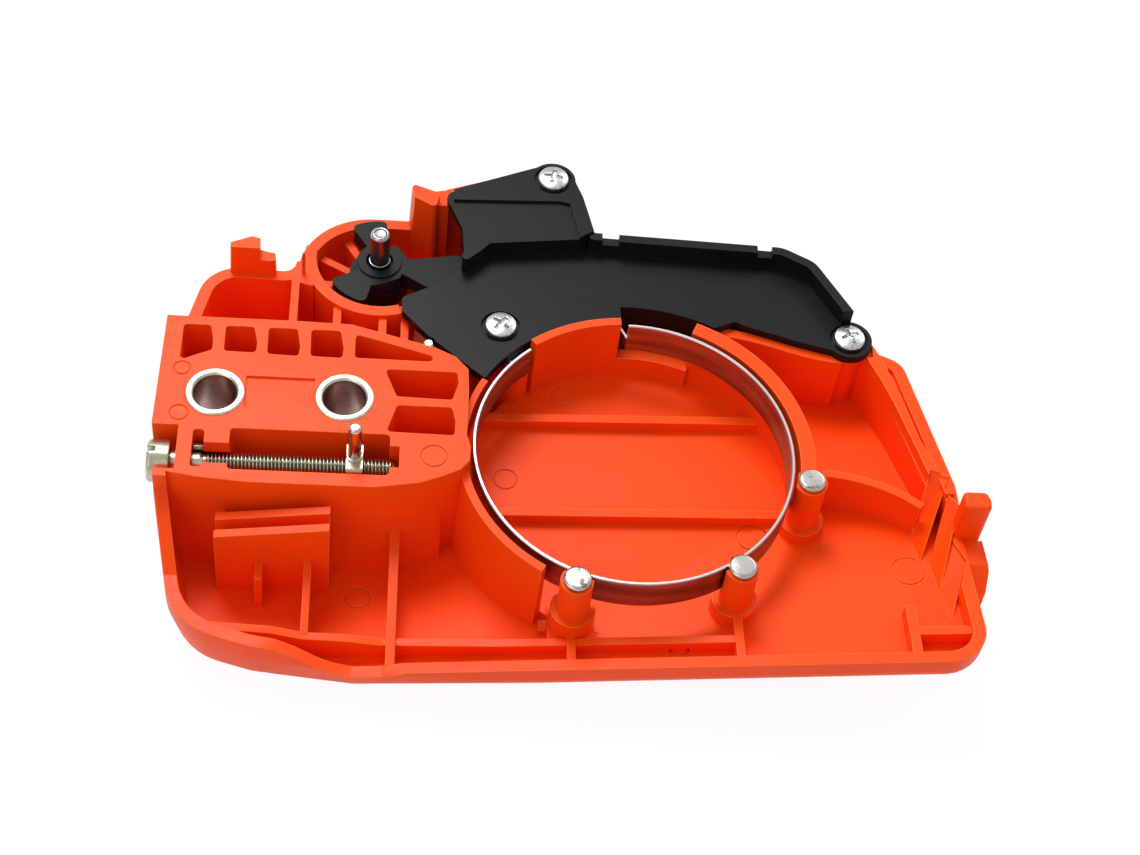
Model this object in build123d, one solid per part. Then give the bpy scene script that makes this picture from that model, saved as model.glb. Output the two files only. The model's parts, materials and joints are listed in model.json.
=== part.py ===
from build123d import *

import os
from math import atan2, cos, degrees, hypot, radians, sin

# Clutch cover of a chainsaw with its built-in chain brake, open side up.
# Work frame (mm): origin on the clutch axis at the brake band's upper edge, X along the
# line of the two bar studs, Z towards the engine. to_part_frame moves it all at the end.

# ------------------------------------------------------------------ driving dimensions
REST = -28.0              # outer face that the cover lies on
SKIN = 3.0                # floor thickness
FLOOR_FLAT = REST + SKIN
FLOOR_AT_AXIS = -21.8     # height of the sloped floor at the clutch axis
SLOPE_X = 0.10
SLOPE_Y = -0.12
DRUM_FLOOR = -18.0        # the floor under the clutch drum is level and higher
DRUM_DISH = -21.2         # a dish in the outer face keeps that floor as thin as the rest
DRUM_FLOOR_RADIUS = 37.7
RIM_RISE = 5.1            # rim above the sloped floor
WALL = 2.8
BLOCK_TOP = 3.4           # face that clamps on the guide bar and the engine housing
HULL_TOP = 6.0            # tallest post on the outer wall
TALL = 14.0               # cutters reach this high
DEEP = -27.0              # feet of inner walls end inside the floor skin
EDGE_ROUND = 5.0
DRAFT_FROM = -17.0        # the outer wall leans inward below this height
DRAFT = 12.0

BAND_RADIUS = 35.5
BAND_THICK = 1.0
BAND_HEIGHT = 8.3
TONGUE_LOW = -8.3         # heights of the tongue and the eyes
TONGUE_HIGH = -5.0
EYE_HOLE = 1.65
EYE_WALL = 1.0
BAND_START = 130.3        # angle of the anchored end, next to the wall in the band's gap
BAND_END = 90.3           # angle of the moving end, at the wall's other side
GAP_WALL = (93.0, 127.3)  # angles of that wall

STUD_X = (-92.5, -64.3)
STUD_Y = 8.0
BUSH_BORE = 4.65          # clears an M8 stud with a collar
BUSH_RADIUS = 5.5
BUSH_FLANGE = 6.55
BUSH_PROUD = 0.5
WELL_TOP = -12.0          # nut well in the outer face
WELL_RADIUS = 9.0

PINS = ((-13.4, -35.5, -10.5), (22.1, -30.9, -11.5), (39.0, -7.4, -13.5))
PIN_HEAD = 3.05
PIN_SHANK = 1.5
PIN_TOP = 1.5

HUB = (-58.2, 55.0)
HUB_TOP = -4.2
HUB_LOW = -8.2
SHAFT_RADIUS = 2.5        # in the hub
SHAFT_END_RADIUS = 2.3    # above its shoulder, where the hand guard turns
SHAFT_SHOULDER = -3.4
SHAFT_TOP = 5.8

SCREW_Y = -7.2
SCREW_Z = -2.2
THREAD_RADIUS = 2.45
THREAD_PITCH = 0.8
CARRIAGE_X = -61.4
PEG_RADIUS = 1.45
PEG_FOOT = 1.2

TRAY_LOW = -3.8
TRAY_TOP = -1.6
PLATEAU_LOW = 1.0
PLATEAU_TOP = 3.2
BORDER_TOP = 4.0
SKIRT_LOW = -11.0         # lower edge of the apron that closes the drum's side
COVER_SCREWS = ((-17.6, 76.7, BORDER_TOP), (-29.7, 34.7, TRAY_TOP), (51.8, 35.8, TRAY_TOP))

KNEE_PIVOT = (-30.95, 46.67)
KNEE_JOINT = (-18.95, 46.88)
SLIDER_PIN = (-6.05, 48.5)
LEVER_TAIL = (-42.4, 50.2)
HOOK_PIN = (-12.6, 38.8)
ANCHOR_PIN = (-26.1, 28.5)
TONGUE_BEND = (-1.6, 38.9)   # where the moving end's tongue turns to run behind the wall
LEVER_LOW, LEVER_HIGH = -11.4, -8.6
LINK_LOW, LINK_HIGH = -8.3, -5.5
LOCATING_PIN = (-46.1, 29.1)
SPRING_Y = 50.5
SPRING_Z = -12.0
SPRING_START, SPRING_END = 1.0, 32.0
SPRING_COIL = 4.8
SPRING_WIRE = 1.1
SLIDER_LOW, SLIDER_HIGH = -14.5, -8.8

# Plan outline of the pan with the radius of each corner.
PAN = (
    ((75.3, -49.6), 9), ((-60.0, -50.3), 8), ((-82.0, -46.9), 20), ((-98.5, -41.9), 16),
    ((-105.2, -8.0), 20), ((-101.3, 33.0), 15), ((-97.3, 50.4), 9.5), ((-77.6, 49.4), 3), ((-76.6, 73.3), 17.5),
    ((-46.0, 73.3), 10), ((-17.0, 84.5), 7.5), ((-8.2, 60.9), 3), ((38.5, 59.3), 8),
    ((59.0, 34.6), 3), ((64.6, 32.0), 5.6), ((73.0, -3.0), 8),
)

# Plan outline of the clamping block, its top face being the one that meets the bar.
BLOCK = (
    (-104.8, 29.3), (-75.8, 29.3), (-63.6, 29.0), (-56.9, 27.0), (-50.0, 25.0), (-44.7, 23.4),
    (-40.0, 21.0), (-37.2, 17.6), (-37.0, 11.5), (-37.3, -0.7), (-36.4, -4.0), (-36.6, -7.7), (-38.6, -10.2),
    (-42.9, -12.4), (-47.4, -14.2), (-56.9, -15.8), (-83.9, -15.8), (-94.7, -14.9), (-102.8, -13.5), (-105.3, -1.0),
)

POCKETS = (
    ((-100.9, 27.0), (-94.9, 27.0), (-94.1, 23.0), (-94.1, 19.9), (-97.5, 18.3), (-101.0, 16.5)),
    ((-91.6, 27.0), (-85.3, 27.0), (-84.3, 22.5), (-84.5, 19.6), (-91.6, 19.7)),
    ((-82.1, 27.0), (-75.6, 27.0), (-74.8, 22.0), (-75.0, 19.2), (-82.0, 19.4)),
    ((-72.6, 27.0), (-66.0, 27.0), (-65.1, 22.0), (-65.3, 19.2), (-72.4, 19.3)),
    ((-62.6, 26.3), (-45.2, 21.0), (-45.2, 19.3), (-62.6, 19.4)),
    ((-55.8, 16.6), (-39.6, 16.6), (-39.3, 13.5), (-40.6, 8.7), (-52.9, 9.0)),
    ((-52.7, 6.6), (-40.6, 6.6), (-39.8, 3.0), (-39.9, -1.1), (-54.9, -0.8)),
)
POCKET_FLOOR = -22.0
FOOT_TOP = -10.0          # the block's front spreads towards the floor below this height
FOOT_LEAN = 11.0
LEFT_TOWER_TOP = 5.9
# Corners of the sloping fins at the right end: two at the foot, two at the top. Each slope folds
# outward on the line from the first corner to the third.
FINS = (
    ((63.7, -11.3, -14.1), (65.0, -18.4, -13.1), (71.3, -1.5, -3.4), (67.2, -0.2, -3.2)),
    ((66.9, -19.0, -12.8), (68.1, -27.2, -11.7), (73.0, -8.6, -4.2), (70.9, -6.0, -4.2)),
    ((68.0, -27.0, -11.7), (69.6, -35.0, -10.6), (73.6, -21.9, -7.9), (71.2, -15.4, -8.4)),
)
UPPER_KNOB_TOP = 4.2
LOWER_KNOB_TOP = -8.0
MARK_DEPTH = 0.25
MARK_WIDTH = 0.4


# ------------------------------------------------------------------------ shape helpers
def outline(points, radius=0.0):
    """A closed flat face through the points, its corners rounded by one radius or one each."""
    return make_face(FilletPolyline(*points, radius=radius, close=True))


def raise_face(face, low, high):
    """A flat face drawn at height 0, made into a solid from low to high."""
    return Pos(0, 0, low) * extrude(face, amount=high - low, dir=(0, 0, 1))


def prism(points, low, high, radius=0.0):
    return raise_face(outline(points, radius), low, high)


def block(x_span, y_span, z_span):
    """A box between two values on each axis."""
    size = [span[1] - span[0] for span in (x_span, y_span, z_span)]
    corner = Pos(x_span[0], y_span[0], z_span[0])
    return corner * Box(*size, align=(Align.MIN, Align.MIN, Align.MIN))


def drafted(points, low, high, lean, radius=0.0):
    """An upright form that spreads by an angle towards its foot."""
    return Pos(0, 0, high) * extrude(outline(points, radius), amount=high - low, dir=(0, 0, -1), taper=-lean)


def disc(centre, radius, low, high):
    upright = (Align.CENTER, Align.CENTER, Align.MIN)
    return Pos(centre[0], centre[1], low) * Cylinder(radius, high - low, align=upright)


def rib(start, end, width, low, high):
    """A straight upright wall between two plan points."""
    length = hypot(end[0] - start[0], end[1] - start[1])
    turn = degrees(atan2(end[1] - start[1], end[0] - start[0]))
    place = Pos(start[0], start[1], low) * Rot(0, 0, turn)
    return place * Box(length, width, high - low, align=(Align.MIN, Align.CENTER, Align.MIN))


def arc_wall(inner, outer, low, high, start, end, flare=0.0):
    """A wall on a circle about Z from one angle to another, wider at its foot by flare."""
    section = Polyline((inner, 0, low), (inner, 0, high), (outer, 0, high), (outer + flare, 0, low),
                       close=True)
    return Rot(0, 0, start) * revolve(make_face(section), Axis.Z, end - start)


def side_wedge(points, x_span):
    """A section drawn in Y and Z, stretched along X."""
    section = make_face(Polyline(*[(x_span[0], y, z) for y, z in points], close=True))
    return extrude(section, amount=x_span[1] - x_span[0], dir=(1, 0, 0))


def front_wedge(points, y_span):
    """A section drawn in X and Z, stretched along Y."""
    section = make_face(Polyline(*[(x, y_span[0], z) for x, z in points], close=True))
    return extrude(section, amount=y_span[1] - y_span[0], dir=(0, 1, 0))


def polar(centre, radius, angle):
    return (centre[0] + radius * cos(radians(angle)), centre[1] + radius * sin(radians(angle)))


def space_below(rise):
    """Everything lower than the cover's floor, sloped or flat, raised by rise."""
    hang = (Align.CENTER, Align.CENTER, Align.MAX)
    slope = Plane(origin=(0, 0, FLOOR_AT_AXIS + rise), z_dir=(-SLOPE_X, -SLOPE_Y, 1))
    sloped = slope.location * Box(500, 500, 100, align=hang)
    flat = Pos(0, 0, FLOOR_FLAT + rise) * Box(450, 450, 100, align=hang)
    return sloped + flat


# ------------------------------------------------------------------------------ housing
def pan_face(inset=0.0):
    face = outline([point for point, _ in PAN], [radius for _, radius in PAN])
    return offset(face, -inset) if inset else face


def pan_solid(face, high):
    """The pan's plan made solid: upright above, leaning inward below."""
    lower = extrude(face, amount=DRAFT_FROM - REST, dir=(0, 0, -1), taper=DRAFT)
    return raise_face(face, DRAFT_FROM, high) + Pos(0, 0, DRAFT_FROM) * lower


def pan_hull():
    """The filled outer form of the cover, its lower edge rounded."""
    hull = pan_solid(pan_face(), HULL_TOP) - space_below(-SKIN)
    lower = [face for face in hull.faces() if face.normal_at().Z < -0.9]
    crease = [edge for edge in lower[0].edges()
              if any((edge.center() - other.center()).length < 0.01 for other in lower[1].edges())]
    hull = fillet(crease, 60)
    lower = [face for face in hull.faces() if face.normal_at().Z < -0.9]
    edges = [edge for face in lower for edge in face.edges()]
    rim = [edge for edge in edges
           if sum((edge.center() - other.center()).length < 0.01 for other in edges) == 1]
    return fillet(rim, EDGE_ROUND)


def wall_trims():
    """What is cut away above the rim and above each stretch of wall."""
    above_rim = prism(((-62, -70), (95, -70), (95, -9.0), (40, -9.0), (40, -20), (-62, -20)), REST, TALL)
    dip = ((-44, -14.0), (-54, -17.6), (-60, -18.4), (-64, -18.0), (-67.4, -16.4), (-72.2, -13.6),
           (-76.5, -12.0), (-91, -12.0), (-91, TALL), (-44, TALL))
    corner_ramp = ((-70, -12.0), (-30, -12.0), (-15, -2.0), (-15, TALL), (-70, TALL))
    return [
        above_rim - space_below(RIM_RISE),
        front_wedge(dip, (-70, -20)),
        side_wedge(corner_ramp, (-120, -90.9)),
        block((-120, -76.0), (29.0, 70), (-3.0, TALL)),
        block((-78.5, -43.0), (50.0, 80), (-9.5, TALL)),
        block((-43.0, -8.2), (60.9, 95), (PLATEAU_LOW, TALL)),
        block((-52.0, -8.0), (45.0, 60.95), (TRAY_LOW, TALL)),
        block((-8.2, 57.0), (30.0, 70), (TRAY_LOW, TALL)),
        block((57.0, 95), (-9.1, 60), (-5.0, TALL)),
        block((-120, 95), (-60, 95), (BLOCK_TOP, TALL)),
    ]


def clamping_block():
    foot = drafted(BLOCK, DEEP, FOOT_TOP, FOOT_LEAN) & block((-103, -42), (-40, -5), (DEEP, FOOT_TOP))
    return prism(BLOCK, DEEP, BLOCK_TOP) + foot


def guide_walls():
    """Walls that keep the brake band round when it is slack, and the ledge under it."""
    return [
        arc_wall(37.6, 39.4, DEEP, 0.0, 180, 238, flare=1.6),
        arc_wall(37.2, 38.7, DEEP, -1.0, 151, 181, flare=1.0),
        arc_wall(37.2, 40.6, DEEP, -0.3, -8, 67),
        arc_wall(35.6, 37.6, DEEP, 0.1, *GAP_WALL),
        arc_wall(35.6, 38.4, DEEP, -12.2, 66, 94),
    ]


def drum_floor():
    """Raised level floor inside the band with the two ribs that cross it."""
    floor = disc((0, 0), DRUM_FLOOR_RADIUS, DEEP, DRUM_FLOOR)
    ribs = rib((-40, 18.4), (40, 21.2), 2.1, DEEP, DRUM_FLOOR + 2.9)
    ribs = ribs + rib((-40, -8.1), (40, -5.5), 2.1, DEEP, DRUM_FLOOR + 2.9)
    return [floor, ribs & disc((0, 0), DRUM_FLOOR_RADIUS, DEEP, 0.0)]


def pin_posts():
    posts = []
    for x, y, collar_top in PINS:
        posts.append(disc((x, y), 3.6, DEEP, 0.15))
        posts.append(disc((x, y), 5.0, DEEP, collar_top))
    posts.append(block((-18.5, -8.5), (-40.5, -31.0), (DEEP, -16.0)))
    posts.append(block((-20.2, -18.0), (-37.0, -34.5), (DEEP, -17.5)))
    return posts


def floor_ribs():
    """Low ribs that follow the sloped floor, as (start, end, width, rise above the floor)."""
    ribs = (
        ((-13.5, -36.0), (-13.5, -48.5), 1.8, 3.8),
        ((22.5, -32.0), (22.5, -48.5), 1.8, 3.8),
        ((59.9, -33.3), (59.9, -48.5), 2.1, 4.0),
        ((60.5, -40.4), (73.5, -40.4), 2.1, 4.0),
    )
    front_rib = ((-92.0, -13.0), (-77.6, -14.1), (-70.8, -16.1), (-61.1, -16.4), (-54.3, -17.5),
                 (-30.0, -16.4), (23.0, -11.0), (23.0, DEEP), (-92.0, DEEP))
    return [front_wedge(front_rib, (-42.3, -40.5))] + [
        rib(start, end, width, DEEP, 0.0) & space_below(rise) for start, end, width, rise in ribs]


def left_bay():
    """Ribs between the block and the front rim."""
    brace = ((-14.0, -12.5), (-49.0, -17.2), (-49.0, DEEP), (-14.0, DEEP))
    plate = ((-90.5, -5.0), (-66.0, -1.0), (-66.0, DEEP), (-90.5, DEEP))
    cross = ((-24.0, -12.4), (-41.0, -16.0), (-41.0, DEEP), (-24.0, DEEP))
    return [
        side_wedge(brace, (-53.0, -51.0)),
        front_wedge(plate, (-24.6, -22.7)),
        front_wedge(plate, (-20.1, -18.2)),
        rib((-81.0, -24.0), (-81.0, -29.0), 1.6, DEEP, -14.0),
        side_wedge(cross, (-71.3, -69.7)),
        rib((-89.5, -15.0), (-89.5, -20.5), 1.6, DEEP, -8.0),
    ]


def below_slope(corners):
    """Everything under two planes that meet on the line from the first corner to the third."""
    points = [Vector(*corner) for corner in corners]
    under = []
    for first, second, third in (points[:3], [points[0], points[2], points[3]]):
        upward = (second - first).cross(third - second)
        slope = Plane(origin=first, z_dir=upward if upward.Z > 0 else -upward)
        under.append(slope.location * Box(300, 300, 100, align=(Align.CENTER, Align.CENTER, Align.MAX)))
    return under[0] + under[1]


def fin(corners):
    """A form from the floor skin up to the slope through its corners, in order round its plan."""
    return prism([corner[:2] for corner in corners], DEEP, TALL) & below_slope(corners)


def above_fin(corners):
    """What is cut from the wall so that a fin's slope runs out over it."""
    return prism([corner[:2] for corner in corners], -14.0, TALL) - below_slope(corners)


def curved_wall(points, width, low, high):
    """An upright wall along a smooth line through plan points."""
    return raise_face(trace(Spline(*points), width), low, high)


def right_end():
    """Inner face of the right wall, the fins that turn chips down and the knobs on its outer side."""
    inner_wall = ((54.9, 33.9), (58.4, 25.7), (61.1, 18.0), (64.4, 6.7), (67.3, -3.5), (70.6, -4.0),
                  (65.8, 8.2), (62.5, 21.0), (59.8, 30.6), (57.5, 35.6))
    fin_end = ((68.9, -0.4), (71.4, -0.4), (72.3, -5.9), (70.2, -5.9))
    upper_knob = ((71.6, -15.4), (77.6, -15.6), (77.9, -13.0), (77.1, -10.8), (71.6, -10.8))
    lower_knob = ((73.2, -33.2), (75.6, -33.1), (78.3, -27.0), (78.9, -23.3), (78.2, -15.6), (72.6, -15.6),
                  (72.9, -21.9))
    knob_front = ((-40.0, -16.0), (-40.0, TALL), (-22.0, TALL), (-22.0, LOWER_KNOB_TOP), (-28.0, -12.0))
    lower = prism(lower_knob, -16.0, LOWER_KNOB_TOP) - side_wedge(knob_front, (60.0, 90.0))
    curve = ((43.0, -0.8), (51.3, -2.1), (57.9, -4.5), (64.8, -8.9))
    under_tray = block((50.0, 57.4), (31.8, 40.0), (TRAY_LOW, TALL))
    return [
        prism(inner_wall, DEEP, -3.0) - under_tray - above_fin(FINS[0]),
        *[fin(corners) for corners in FINS],
        prism(fin_end, DEEP, -4.0),
        fillet(prism(upper_knob, -16.0, UPPER_KNOB_TOP, 1.2).edges().group_by(Axis.Z)[-1], 0.9),
        lower,
        curved_wall(curve, 1.8, DEEP, -5.0),
    ]


def right_step():
    """Lower step between the right wall and the face inside it."""
    plan = ((56.5, 34.0), (61.0, 18.0), (66.5, -2.1), (73.0, -2.1), (69.6, 24.0), (63.0, 36.0))
    inside = pan_solid(pan_face(WALL / 2), TALL) - space_below(-SKIN / 2)
    return prism(plan, DEEP, -6.2) & inside


def towers():
    """Tall posts that locate the cover on the hand guard's side."""
    left = ((-92.3, 48.4), (-92.3, 49.8), (-87.5, 52.0), (-83.8, 50.8), (-82.2, 50.6), (-82.2, 48.3))
    right = ((-51.6, 74.1), (-44.6, 71.4), (-45.5, 66.8), (-50.5, 69.7))
    beside = prism(((-47.0, 73.6), (-42.4, 74.6), (-42.4, 69.4), (-47.0, 69.4)), -18.0, PLATEAU_LOW - 0.2)
    shoulder = block((-85.6, -80.0), (46.5, 53.0), (LEFT_TOWER_TOP - 4.0, TALL))
    left = drafted(left, -18.0, LEFT_TOWER_TOP, 1.5, 0.6) - shoulder
    return [left, drafted(right, -18.0, 3.0, 2.0, 0.8), beside]


def hub_pocket():
    """Wall round the hub, the hub's boss and the spokes that it rests on."""
    spokes = [rib(HUB, polar(HUB, 16.0, angle), 1.8, DEEP, -13.0) for angle in (20, 120, 150, 180, 300)]
    return [
        arc_wall_at(HUB, 14.8, 17.5, DEEP, -3.0, 170, 289),
        arc_wall_at(HUB, 14.8, 17.5, DEEP, TRAY_LOW, 288, 300),
        disc(HUB, 4.6, DEEP, -13.0),
    ] + spokes


def arc_wall_at(centre, inner, outer, low, high, start, end):
    return Pos(centre[0], centre[1], 0) * arc_wall(inner, outer, low, high, start, end)


def lobe_bay():
    """Ribs between the block and the hub pocket."""
    floor = prism(((-101, 29), (-77, 29), (-77, 49), (-88, 49), (-99, 44)), DEEP, -18.0)
    corner = prism(((-84.5, 52.0), (-83.1, 50.1), (-79.7, 47.5), (-73.3, 45.5), (-73.0, 50.0), (-76.0, 53.0)),
                   DEEP, -3.0)
    ribs = (
        ((-77.3, 28.5), (-77.3, 50.5), -3.0),
        ((-67.3, 28.5), (-67.3, 40.5), -4.0),
        ((-56.8, 26.5), (-56.8, 39.0), -4.0),
        ((-51.7, 25.0), (-51.7, 38.5), -5.0),
    )
    return [floor, corner] + [rib(start, end, 1.8, DEEP, top) for start, end, top in ribs]


def mechanism_supports():
    """Posts, rails and brackets that carry the brake linkage under the black cover."""
    supports = [
        disc(KNEE_PIVOT, 4.5, DEEP, LEVER_LOW - 0.3),
        disc(ANCHOR_PIN, 3.4, DEEP, TONGUE_LOW - 0.3),
        block((-16.0, -4.2), (41.8, 58.0), (DEEP, SLIDER_LOW - 0.3)),
        block((-7.2, -4.2), (42.2, 44.0), (DEEP, -10.0)),
        block((-16.0, -4.2), (55.4, 58.0), (DEEP, -10.0)),
        block((SPRING_END + 2.7, SPRING_END + 5.2), (44.0, 57.0), (DEEP, -4.8)),
        disc((-17.6, 76.7), 4.6, DEEP, PLATEAU_LOW),
        disc(LOCATING_PIN, 2.6, DEEP, -6.0),
    ]
    front_wall = ((19.4, 37.8), (25.0, 37.6), (32.0, 36.0), (40.0, 33.4), (50.0, 31.5))
    supports.append(curved_wall(front_wall, 2.4, DEEP, TRAY_LOW))
    for x, y, _ in COVER_SCREWS[1:]:
        supports.append(disc((x, y), 4.2, DEEP, TRAY_LOW))
    return supports


def housing_cuts():
    """Pockets, wells, slots and bores of the housing."""
    cuts = [prism(points, POCKET_FLOOR, TALL, 0.9) for points in POCKETS]
    for x in STUD_X:
        cuts.append(disc((x, STUD_Y), BUSH_RADIUS, WELL_TOP - 1, TALL))
        cuts.append(disc((x, STUD_Y), WELL_RADIUS, REST - 1, WELL_TOP))
        cuts.append(disc((x, STUD_Y), BUSH_FLANGE, BLOCK_TOP - 1.0, TALL))
    cuts.append(block(STUD_X, (STUD_Y - WELL_RADIUS, STUD_Y + WELL_RADIUS), (REST - 1, WELL_TOP)))
    cuts.append(block((-86.0, -71.0), (4.4, 13.0), (BLOCK_TOP - 0.6, TALL)))
    cuts += tension_screw_cuts()
    cuts.append(arc_wall(34.4, 36.6, -9.0, TALL, GAP_WALL[1], GAP_WALL[0] + 360))
    cuts.append(disc((0, 0), 33.0, REST - 1, DRUM_DISH))
    for x, y, _ in PINS:
        cuts.append(disc((x, y), PIN_SHANK, -16.0, TALL))
    cuts.append(disc(HUB, SHAFT_RADIUS, -24.0, 0.0))
    cuts.append(disc(LOCATING_PIN, 1.3, -20.0, 0.0))
    cuts.append(disc(KNEE_PIVOT, 2.0, -22.0, 0.0))
    cuts.append(disc(ANCHOR_PIN, 1.6, -20.0, 0.0))
    for x, y, _ in COVER_SCREWS:
        cuts.append(disc((x, y), 2.0, -16.0, TALL))
    return cuts + ejector_marks()


def ejector_marks():
    """Rings that the mould's ejector pins left on the block and on the floor."""
    on_block = ((-100.2, 14.4, 2.0), (-99.8, 2.0, 2.2), (-44.3, -6.9, 3.0))
    on_floor = ((-59.5, -26.0, 3.0), (62.0, -21.0, 4.0), (10.0, -41.0, 2.5))
    on_drum_floor = ((-14.0, 28.3, 3.0), (-27.5, 3.2, 2.9), (28.4, -10.5, 3.7))
    marks = [ring((x, y), radius, BLOCK_TOP - MARK_DEPTH, BLOCK_TOP + 1) for x, y, radius in on_block]
    marks += [ring((x, y), radius, DRUM_FLOOR - MARK_DEPTH, -10.0) for x, y, radius in on_drum_floor]
    for x, y, radius in on_floor:
        marks.append((ring((x, y), radius, REST, 0.0) & space_below(1.0)) - space_below(-MARK_DEPTH))
    return marks


def ring(centre, radius, low, high):
    return disc(centre, radius, low, high) - disc(centre, radius - MARK_WIDTH, low - 1, high + 1)


def tension_screw_cuts():
    floor = SCREW_Z - 5.3
    bore = Pos(-108, SCREW_Y, SCREW_Z) * Rot(0, 90, 0) * Cylinder(
        2.6, 58.5, align=(Align.CENTER, Align.CENTER, Align.MIN))
    return [
        block((-108.0, -99.5), (-13.0, -1.3), (floor, TALL)),
        prism(((-96.3, -12.3), (-93.8, -12.3), (-93.8, -2.3), (-96.3, -2.3)), floor, TALL, 0.9),
        block((-94.0, -88.3), (-11.1, -5.7), (SCREW_Z, TALL)),
        prism(((-88.4, -12.6), (-53.9, -12.6), (-53.9, -1.6), (-88.4, -1.6)), floor, TALL, 1.0),
        block((-54.5, -51.8), (-10.4, -4.7), (SCREW_Z, TALL)),
        bore,
    ]


def cover_housing():
    hull = pan_hull()
    cavity = pan_solid(pan_face(WALL), TALL) - space_below(0.0)
    shell = hull - cavity
    for trim in wall_trims() + [above_fin(corners) for corners in FINS]:
        shell = shell - trim
    inner = (guide_walls() + drum_floor() + pin_posts() + floor_ribs() + left_bay() + hub_pocket() + lobe_bay()
             + mechanism_supports() + [right_step()])
    body = shell
    for piece in inner:
        body = body + (piece & hull)
    for piece in [clamping_block()] + right_end() + towers():
        body = body + (piece - space_below(-SKIN))
    for cut in housing_cuts():
        body = body - cut
    return body


# ---------------------------------------------------------------------- mechanism cover
def tray_face():
    """The black cover's plan, its front edge following the drum's circle."""
    points = (
        ((-52.6, 42.2), 1.5), ((-52.5, 38.2), 1.5), ((-45.9, 30.6), 3), ((-33.2, 19.3), 1), ((0.0, 30.0), 0),
        ((21.9, 38.0), 1), ((25.1, 39.7), 1), ((27.4, 38.4), 1), ((40.0, 34.3), 6), ((49.3, 31.8), 6),
        ((56.9, 33.5), 1.8), ((53.8, 37.8), 2), ((44.5, 55.0), 6), ((37.0, 59.2), 6), ((-8.1, 60.9), 1),
        ((-10.4, 71.3), 2), ((-14.0, 81.5), 5), ((-20.0, 81.2), 3), ((-43.4, 71.0), 2),
        ((-39.0, 60.0), 4), ((-38.6, 53.0), 4), ((-42.8, 47.7), 3),
    )
    face = outline([point for point, _ in points], [radius for _, radius in points])
    face = face - Circle(38.4)
    drum_bay = outline(((0, 0), polar((0, 0), 60, 60), polar((0, 0), 60, 92.5)))
    return face - (Circle(42.4) & drum_bay)


def plateau_face():
    points = (
        ((-40.7, 47.7), 1), ((-34.5, 53.7), 2), ((-32.6, 56.0), 1), ((-11.4, 58.6), 2), ((-8.1, 60.9), 0),
        ((-10.4, 71.3), 2), ((-14.0, 81.5), 5), ((-20.0, 81.2), 3), ((-43.4, 71.0), 2),
        ((-39.0, 60.0), 4), ((-38.6, 53.0), 4),
    )
    return outline([point for point, _ in points], [radius for _, radius in points])


def mechanism_cover():
    tray = tray_face()
    plateau = plateau_face()
    lug = block((-46, -6), (60.9, 90), (TRAY_LOW - 1, PLATEAU_LOW))
    border = plateau & outline(((-41.3, 95), (-41.3, 68.7), (-39.6, 68.7), (-16.0, 69.8), (-13.6, 69.2),
                                (-11.4, 58.4), (-11.4, 50.0), (0.0, 50.0), (0.0, 95)))
    body = raise_face(tray, TRAY_LOW, TRAY_TOP)
    back_edge = (tray - offset(tray, -2.2)) & outline(((-9, 50), (38, 50), (50, 37.4), (60, 37.4), (60, 70), (-9, 70)))
    body = body + raise_face(back_edge, TRAY_LOW, PLATEAU_TOP)
    body = body + raise_face(plateau, TRAY_LOW, PLATEAU_TOP)
    hollow = ((-36.4, 56.0), (-33.8, 58.2), (-12.0, 60.6), (-12.0, 61.0), (-36.6, 61.0))
    body = body - prism(hollow, TRAY_LOW - 1, PLATEAU_LOW) - lug
    body = body + raise_face(border, PLATEAU_TOP - 1.0, BORDER_TOP)
    body = body + arc_wall(42.4, 44.0, SKIRT_LOW, TRAY_TOP, 66, 91) - disc(LOCATING_PIN, 1.6, -10, TALL)
    for x, y, top in COVER_SCREWS:
        pad = disc((x, y), 5.4, top - 2.2, top)
        body = (body + pad) - disc((x, y), 4.6, top - 0.8, TALL) - disc((x, y), 2.3, -10, TALL)
    for x_span in ((-6.0, -2.0), (31.0, 34.5)):
        body = body - block(x_span, (56.5, 70), (1.6, TALL))
    return body


def cover_screws():
    """Pan-head screws with a cross recess."""
    screws = []
    for x, y, top in COVER_SCREWS:
        seat = top - 0.8
        head = fillet(disc((x, y), 3.7, seat, seat + 2.4).edges().group_by(Axis.Z)[-1], 1.1)
        slot = Pos(x, y, seat + 1.1) * (Box(4.2, 0.8, 3) + Box(0.8, 4.2, 3))
        slot = Pos(0, 0, 1.5) * slot
        screws.append(head + disc((x, y), 2.0, seat - 11.0, seat) - slot)
    return screws


# ------------------------------------------------------------------------ band and pins
def brake_band():
    """The strip round the drum, an eye behind its anchored end and a tongue with an eye at the other."""
    radius_in = BAND_RADIUS - BAND_THICK / 2
    radius_out = BAND_RADIUS + BAND_THICK / 2
    strip = arc_wall(radius_in, radius_out, -BAND_HEIGHT, 0.0, BAND_START, BAND_END + 360)
    eye_radius = EYE_HOLE + EYE_WALL
    tongue = ((polar((0, 0), BAND_RADIUS, BAND_END - 0.6), TONGUE_BEND),
              (TONGUE_BEND, (HOOK_PIN[0], HOOK_PIN[1] - EYE_HOLE - EYE_WALL / 2)),
              (polar((0, 0), BAND_RADIUS, BAND_START + 3.0), ANCHOR_PIN))
    for start, end in tongue:
        strip = strip + rib(start, end, BAND_THICK, TONGUE_LOW, TONGUE_HIGH)
    strip = strip + disc(TONGUE_BEND, BAND_THICK / 2, TONGUE_LOW, TONGUE_HIGH)
    for pin in (HOOK_PIN, ANCHOR_PIN):
        strip = strip + disc(pin, eye_radius, TONGUE_LOW, TONGUE_HIGH)
    for pin in (HOOK_PIN, ANCHOR_PIN):
        strip = strip - disc(pin, EYE_HOLE, -BAND_HEIGHT - 1, TONGUE_HIGH + 9)
    return strip


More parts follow.
